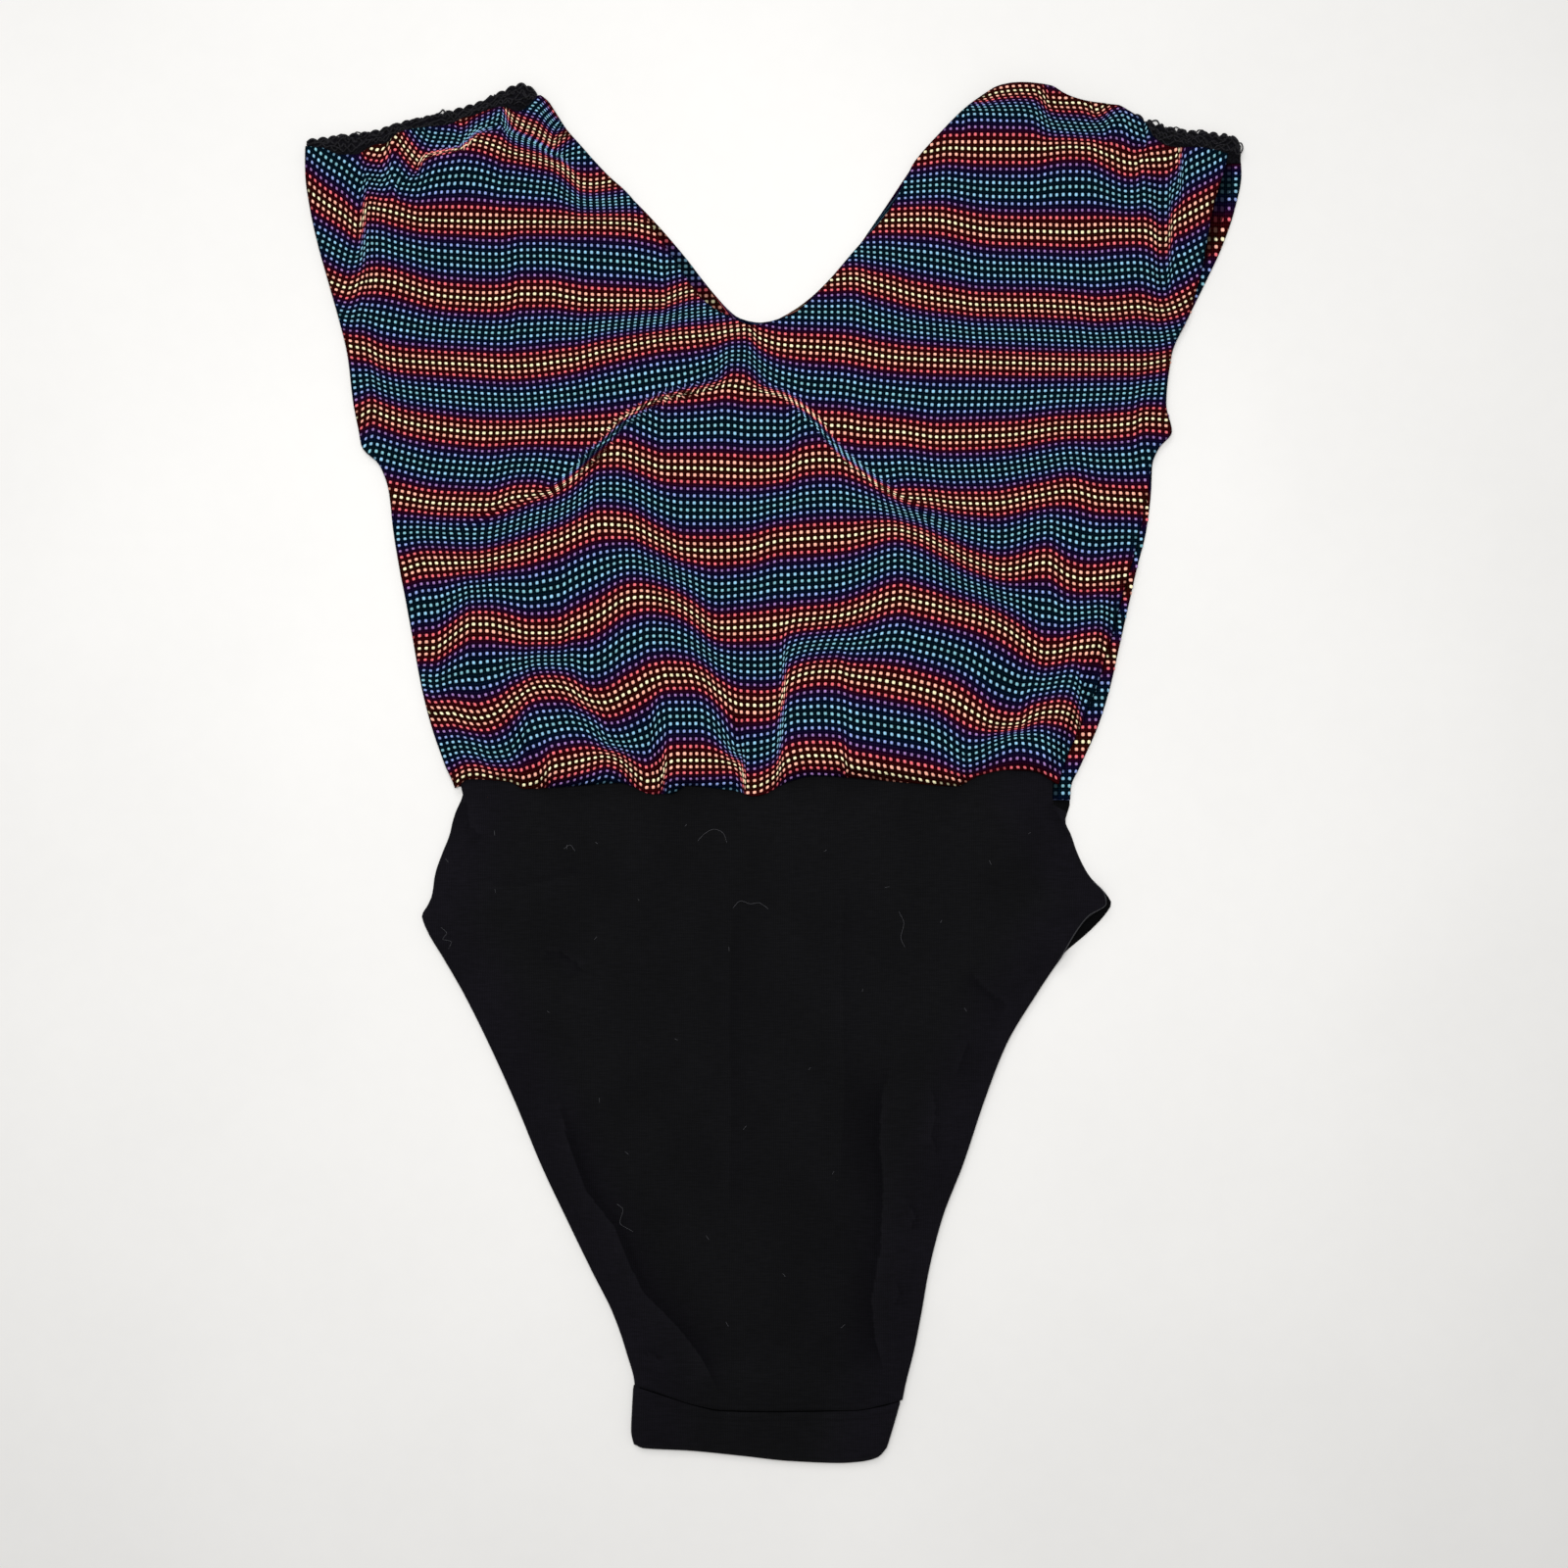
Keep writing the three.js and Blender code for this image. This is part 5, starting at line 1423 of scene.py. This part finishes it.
def give_inset(piece, left, right):
    """Store how far in each point lies and the painted shade and light beside a crease, for the
    look of the jersey.
    """
    spots = np.array([v.co[:2] for v in piece.data.vertices]) / MM
    x, y = spots[:, 0], spots[:, 1]
    inset = from_sides(left, right, x, y)
    painted_crease_shading = np.zeros(len(x))
    for line, steep_side, depth, dark_run, light_run in PAINTED_CREASE_SHADES:
        distance, side, along = nearest_on_line(from_pixels(line), x, y)
        run = np.where(side == steep_side, dark_run, light_run)
        fade = fade_between(along, FOLD_END, PAINTED_SHADE_END)
        # Painted shade on the dark side of a line, half as much painted light on the other
        painted_crease_shading += np.where(side == steep_side, depth, -0.5 * depth) * fade * np.exp(-distance / run)
    for layer_name, values in (("inset", inset), ("painted_crease_shading", np.clip(painted_crease_shading, -1, 1))):
        layer = piece.data.attributes.new(layer_name, "FLOAT", "POINT")
        layer.data.foreach_set("value", values.astype(np.float32))


# Front brief
BRIEF_COLUMNS = 216
BRIEF_ROWS = 198
brief_grid = panel_grid(
    brief_left, brief_front_right, [(-156, 3), (143.5, 3)], CROTCH_SEAM,
    even(BRIEF_COLUMNS), even(BRIEF_ROWS), front_brief_height)
points, faces, part, _ = closed_sheet(
    brief_grid, brief_grid - grid_normals(brief_grid) * CLOTH, coarse=INNER_SHARE)
front_brief = new_object("brief_front", points, faces, [black_jersey, jersey_inside_painted_shade], part)
give_inset(front_brief, brief_left, brief_front_right)
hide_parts("front_brief")


# Back brief
def back_brief_under(x, y):
    side = from_sides(brief_left, brief_back_right, x, y)
    rim = (smooth_step((side - FLAT_SIDE) / FLAT_RUN)
           * smooth_step((BRIEF_FOLDS_HIGH - y) / FLAT_RUN)
           * smooth_step((y - BRIEF_FOLDS_LOW) / FLAT_RUN))
    return rim * folds_height(BACK_BRIEF_FOLDS, x, y)


BACK_BRIEF_COLUMNS = 80
BACK_BRIEF_ROWS = 130
brief_back_grid = panel_grid(
    brief_left, brief_back_right, lowered(BACK_WAIST, EDGE_GAP), CROTCH_SEAM,
    even(BACK_BRIEF_COLUMNS), even(BACK_BRIEF_ROWS), back_brief_under)
points, faces, part, _ = closed_sheet(brief_back_grid + (0, 0, CLOTH), brief_back_grid)
# Its upper face shows only in the leg opening, in the darker jersey as painted shade
back_brief = new_object("brief_back", points, faces, [jersey_inside_painted_shade, black_jersey], part)
give_inset(back_brief, brief_left, brief_back_right)
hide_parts("back_brief")


# Crotch bands, each with a line of stitching sunk beside its seam and its hem
BAND_COLUMNS = 100
BAND_ROWS = 24
BAND_EDGE_RISE = 5
BAND_EDGE_DROP = 0.4
STITCHING_IN = 4.5
STITCHING_WIDTH = 0.9
STITCHING_SUNK = 0.35


def band(name, node, bottom_z, edge_z, middle_z):
    def height(x, y):
        side = from_sides(band_left, band_right, x, y)
        end = np.minimum(seam_curve(x) - EDGE_GAP - y, y - smooth_curve(BAND_HEM)(x))
        groove = STITCHING_SUNK * np.exp(-((end - STITCHING_IN) / STITCHING_WIDTH) ** 2)
        soft = 0.15 * ripple(x, y, seed=17, scale=22, height=1.0)
        rounded = smooth_step(side / BAND_EDGE_RISE) * smooth_step(0.1 + end / 3)
        return mix(edge_z, middle_z, rounded) - groove + soft * rounded

    grid = panel_grid(band_left, band_right, lowered(CROTCH_SEAM, EDGE_GAP), BAND_HEM,
                      even(BAND_COLUMNS), even(BAND_ROWS), height)
    inner = grid.copy()
    inner[..., 2] = bottom_z
    points, faces, _, _ = closed_sheet(grid, inner, 0.5)
    piece = new_object(name, points, faces, [black_jersey])
    give_inset(piece, band_left, band_right)
    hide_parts(node)
    return piece


FRONT_BAND_EDGE = 3.3
band_back = band("band_back", "crotch_band_back", 0, BAND_CLOTH - BAND_EDGE_DROP, BAND_CLOTH)
band_front = band("band_front", "crotch_band_front", BAND_CLOTH + SEAM_GAP, FRONT_BAND_EDGE,
                  2 * BAND_CLOTH + SEAM_GAP)


def tube(x, y, z, radius, sides=6):
    """Points and faces of a round tube along a path."""
    path = np.stack(np.broadcast_arrays(x, y, z), axis=-1)
    ahead = np.gradient(path, axis=0)
    ahead /= np.maximum(np.linalg.norm(ahead, axis=1, keepdims=True), 1e-9)
    side = np.cross(ahead, (0, 0, 1.0))
    side /= np.maximum(np.linalg.norm(side, axis=1, keepdims=True), 1e-9)
    up = np.cross(side, ahead)
    angle = (np.arange(sides) * 2 * math.pi / sides)[:, None]
    ring = np.cos(angle) * side[:, None] + np.sin(angle) * up[:, None]
    points = (path[:, None] + ring * radius).reshape(-1, 3)
    faces = [(i + j, i + k, i + sides + k, i + sides + j)
             for i in range(0, (len(path) - 1) * sides, sides)
             for j, k in zip(range(sides), [*range(1, sides), 0])]
    return points, faces


def smooth_path(pixels, steps):
    """A smooth line through some pixels, with so many steps from one to the next."""
    last = len(pixels) - 1
    at = np.linspace(0, last, steps * last + 1)
    x, y = from_pixels(pixels).T
    return smooth_curve(list(enumerate(x)))(at), smooth_curve(list(enumerate(y)))(at)


def joined(parts):
    points, faces, start = [], [], 0
    for part_points, part_faces in parts:
        points.append(np.asarray(part_points))
        faces.extend(tuple(i + start for i in face) for face in part_faces)
        start += len(part_points)
    return np.concatenate(points), faces


# Arcs of the lace's own pattern that show on each shoulder, in pixels
RIGHT_MOTIFS = [
    [(1171, 129), (1177, 131), (1182, 134), (1184, 138), (1182, 142)],
    [(1184, 143), (1191, 140), (1199, 139), (1204, 142), (1208, 147)],
    [(1211, 144), (1217, 140), (1223, 139), (1229, 141), (1232, 145), (1233, 149)],
    [(1236, 144), (1241, 147), (1247, 145), (1251, 143)],
    [(1247, 139), (1253, 140), (1258, 144), (1261, 149), (1260, 155)],
    [(1262, 146), (1266, 146), (1268, 151), (1266, 156), (1263, 158)],
    [(1221, 135), (1223, 133), (1227, 133), (1229, 136)],
    [(1196, 132), (1200, 130), (1204, 132)],
]
LEFT_MOTIFS = [
    [(362, 137), (364, 135), (368, 136), (369, 139)],
    [(331, 151), (338, 149), (345, 151), (350, 155)],
    [(524, 107), (530, 104), (537, 108)],
]
MOTIF_STEPS = 4
MOTIF_CORD = 0.34
MOTIF_RAISE = 0.55
SCALLOP_PITCH = 5.4
SCALLOP_DEPTH = 1.35
SCALLOP_STEPS = 10
RIM_STEPS = 12
LOOP_WIDTH = 0.36
LOOP_HEIGHT = 1.3
LACE_UNDER = 2.5
CORD = 0.42
# The ground of the lace lies a little below its top, and its knots and cords rise from there
LACE_SUNK = 0.5
KNOT_RAISE = 0.35
KNOTS_DOWN = 24
LOOP_RAISE = 0.35
CORD_SUNK = 0.45
CORD_RAISE = 0.15
CORD_CROSSING = 0.3
CORD_STRAY = 0.05
LONGEST_REACH = 12.0
SHORTEST_REACH = 2.4
# Where the rows of the lace's grid lie between its free edge and its hidden one
LACE_SHARES = np.array([0, 0.06, 0.14, 0.24, 0.36, 0.48, 0.6, 0.75, 0.88, 1.0])
# Cords along the lace: where in its depth, how far each swings, and where its swing starts
CORD_RUNS = [(0.10, 0.08, 0.0), (0.22, 0.10, math.pi), (0.38, 0.10, 0.0), (0.54, 0.09, math.pi)]


def lace(name, node, edge, shoulder, motifs, depth_min, shown_from, loops_from):
    """A strip of lace with its scalloped rim, loops, cords and motifs.

    It is at least depth_min deep. Its cords show right of shown_from, its loops of loops_from.
    """
    outer_y = smooth_curve(edge)
    shoulder_y = smooth_curve(shoulder)
    first, last = edge[0][0], edge[-1][0]
    scallops = round((last - first) / SCALLOP_PITCH)

    def scalloped(steps):
        wave = np.abs(np.sin(math.pi * scallops * even(scallops * steps)))
        x = mix(first, last, even(scallops * steps))
        return wave, x, outer_y(x) - SCALLOP_DEPTH * (1 - wave)

    along = even(scallops * SCALLOP_STEPS)
    _, x, free_y = scalloped(SCALLOP_STEPS)
    under = np.minimum(shoulder_y(x) - LACE_UNDER, outer_y(x) - depth_min)
    share = LACE_SHARES[:, None]
    x_grid = np.repeat(x[None], len(share), 0)
    y_grid = mix(free_y[None], under[None], share)
    shown = smooth_step((y_grid - shoulder_y(x)[None] + 1.5) / 2)
    knots = np.sin(2 * math.pi * scallops * along * 2)[None] * np.sin(share * KNOTS_DOWN)
    knots = KNOT_RAISE * (1 + knots) * (x_grid > shown_from)
    z_grid = LACE_TOP - LACE_SUNK + shown * knots
    grid = np.stack([x_grid, y_grid, z_grid], axis=-1)
    inner = grid.copy()
    inner[..., 2] = LACE_TOP - LACE_WALL
    points, faces, _, _ = closed_sheet(grid, inner, 0.2)
    band_piece = new_object(name, points, faces, [black_lace])
    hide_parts(node)

    draw_lace = np.random.default_rng(scallops)
    wave, rim_x, rim_y = scalloped(RIM_STEPS)
    parts = [tube(rim_x, rim_y - CORD * 0.6, LACE_TOP - 0.25 + 0.3 * wave, CORD * 1.25)]
    for k in range(scallops):
        middle = first + (k + 0.5) * (last - first) / scallops
        if middle < loops_from:
            continue
        wide = SCALLOP_PITCH * LOOP_WIDTH * draw_lace.uniform(0.5, 1.1)
        tall = LOOP_HEIGHT * draw_lace.uniform(0.3, 1.3)
        angle = np.linspace(-0.15 * math.pi, 1.15 * math.pi, 12)
        base = float(outer_y(middle)) - 0.6
        tilt = (float(outer_y(middle + 1)) - float(outer_y(middle - 1))) / 2
        loop_x = middle + wide * np.cos(angle)
        loop_y = base + tall * np.sin(angle) + tilt * (loop_x - middle)
        loop_z = LACE_TOP - 0.1 + LOOP_RAISE * np.sin(angle) + draw_lace.uniform(-0.1, 0.2)
        parts.append(tube(loop_x, loop_y, loop_z, CORD))
    visible = np.minimum(outer_y(x) - (shoulder_y(x) - 1.0), LONGEST_REACH)
    reach = np.maximum(visible, max(depth_min * 0.8, SHORTEST_REACH))
    seen = x >= shown_from
    for centre, swing, phase in CORD_RUNS:
        stray = CORD_STRAY * ripple(x, x * 0, seed=int(100 * centre), scale=16, height=7.0)
        turns = 2 * math.pi * scallops * (along + 0.24 * stray) + phase
        cord_y = outer_y(x) - 0.8 - (centre + stray + swing * np.sin(turns)) * reach
        crossing = CORD_CROSSING * np.cos(2 * math.pi * scallops * along + phase)
        covered = cord_y < shoulder_y(x) - 0.2
        cord_z = LACE_TOP + np.where(covered, -CORD_SUNK, CORD_RAISE + crossing)
        parts.append(tube(x[seen], cord_y[seen], cord_z[seen], CORD))
    for motif in motifs:
        parts.append(tube(*smooth_path(motif, MOTIF_STEPS), LACE_TOP + MOTIF_RAISE, MOTIF_CORD))
    cord_piece = new_object(name + "_cords", *joined(parts), [lace_cord])
    return band_piece, cord_piece


# A near-black tube along the crotch seam: painted shadow in the gap beside it
SEAM_SHADOW_RADIUS = 0.32
SEAM_SHADOW_Z = 3.1
seam_x = np.linspace(CROTCH_SEAM[0][0] + 2, CROTCH_SEAM[-1][0] - 2, 90)
seam_shadow_tube = tube(seam_x, seam_curve(seam_x) - EDGE_GAP / 2, SEAM_SHADOW_Z, SEAM_SHADOW_RADIUS)
seam_shadow_piece = new_object("crotch_seam_shadow", *seam_shadow_tube, [painted_seam_shadow])

# The folded rim at the right hip: a thin tube in a lighter jersey colour, a painted highlight where
# the side meets the leg opening
RIM_TOP = -56
RIM_LOW = -96
RIM_POINTS = 60
RIM_RADIUS = 0.30
rim_y = np.linspace(RIM_TOP, RIM_LOW, RIM_POINTS)
rim_x = brief_front_right(rim_y) - RIM_RADIUS
rim_highlight_tube = tube(rim_x, rim_y, front_brief_height(rim_x, rim_y) - 0.05, RIM_RADIUS)
rim_highlight_right = new_object("brief_rim_highlight_right", *rim_highlight_tube, [painted_rim_highlight])

# Lint and stray hairs on the black jersey, in pixels
LINT = [(579, 864), (609, 860), (506, 909), (456, 878), (608, 957), (700, 842), (842, 868),
        (905, 905), (652, 918), (744, 968), (880, 1010), (560, 1032), (690, 1060), (826, 1090),
        (760, 1150), (640, 1176), (850, 1196), (612, 1122), (722, 1262), (800, 1300),
        (742, 1350), (860, 1352), (505, 850), (1010, 880), (1050, 850), (960, 940), (985, 1030)]
HAIRS = [[(712, 858), (720, 850), (729, 846), (738, 850), (742, 860)],
         [(748, 926), (756, 919), (766, 922), (774, 921), (784, 927)],
         [(450, 946), (456, 952), (452, 958), (461, 961), (458, 968)],
         [(917, 930), (922, 942), (919, 956), (923, 966)],
         [(576, 866), (582, 862), (587, 868)],
         [(630, 1228), (636, 1234), (633, 1246), (646, 1256)]]
HAIR_RADIUS = 0.07
HAIR_STEPS = 6
HAIR_SIDES = 4


def fibre(x, y):
    return tube(x, y, front_brief_height(x, y) + HAIR_RADIUS, HAIR_RADIUS, HAIR_SIDES)


draw_lint = np.random.default_rng(33)
fibres = []
for px, py in LINT:
    x, y = from_pixel(px, py)
    angle = draw_lint.uniform(0, math.pi)
    length = draw_lint.uniform(0.5, 1.3)
    along = np.linspace(-length, length, 4)
    fibres.append(fibre(x + along * math.cos(angle),
                        y + along * math.sin(angle) + 0.2 * np.sin(along * 2)))
fibres += [fibre(*smooth_path(hair, HAIR_STEPS)) for hair in HAIRS]
lint = new_object("brief_lint", *joined(fibres), [lint_fibre])

EVERYWHERE = -1000
NOWHERE = 1000
lace_left, cords_left = lace(
    "lace_left", "shoulder_lace_left", LACE_LEFT_EDGE, FRONT_SHOULDER_LEFT, LEFT_MOTIFS,
    depth_min=4, shown_from=EVERYWHERE, loops_from=NOWHERE)
lace_right, cords_right = lace(
    "lace_right", "shoulder_lace_right", LACE_RIGHT_EDGE, FRONT_SHOULDER_RIGHT, RIGHT_MOTIFS,
    depth_min=7, shown_from=178, loops_from=182)

pieces = [front_bodice, *front_dots, back_bodice, dots_back, dots_roll, front_brief, back_brief,
          rim_highlight_right, lint, seam_shadow_piece, band_back, band_front, lace_left, cords_left,
          lace_right, cords_right]
for piece in pieces:
    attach(piece, "root")

# Floor, light and colour
FLOOR_SIDE = 6
FLOOR_DROP = 0.0005
FLOOR_COLOUR = (0.865, 0.855, 0.835)
SKY_STRENGTH = 0.33
n = Nodes("floor")
cloud = n.remap(n.noise(5.0, 3.0), 0.3, 0.7, 0.97, 1.0)
grain = n.remap(n.noise(90.0, 3.0), 0.3, 0.7, 0.992, 1.0)
floor_material = n.finish(Base_Color=n.shaded(FLOOR_COLOUR, n.times(cloud, grain)),
                          Roughness=0.6, Specular_IOR_Level=0.3)
bpy.ops.mesh.primitive_plane_add(size=FLOOR_SIDE, location=(0, 0, -FLOOR_DROP))
floor = bpy.context.object
floor.name = "floor"
floor.data.materials.append(floor_material)

scene = bpy.context.scene
world = bpy.data.worlds.new("world")
scene.world = world
world.use_nodes = True
sky = world.node_tree.nodes["Background"]
sky.inputs[0].default_value = (1, 1, 1, 1)
sky.inputs[1].default_value = SKY_STRENGTH


def area_light(name, size, power, place, aim):
    data = bpy.data.lights.new(name, "AREA")
    data.shape = "RECTANGLE"
    data.size, data.size_y = size
    data.energy = power
    light = bpy.data.objects.new(name, data)
    light.location = place
    light.rotation_euler = (Vector(aim) - Vector(place)).to_track_quat("-Z", "Y").to_euler()
    scene.collection.objects.link(light)


area_light("window", size=(1.2, 0.8), power=9.4, place=(-0.45, 1.3, 1.5), aim=(0, 0, 0))
area_light("overhead", size=(0.5, 0.5), power=10.2, place=(-0.04, 0.1, 1.2),
           aim=(-0.04, 0.1001, 0))

scene.view_settings.view_transform = "Standard"
scene.view_settings.look = "None"
scene.view_settings.exposure = 0.0
scene.view_settings.gamma = 1.0
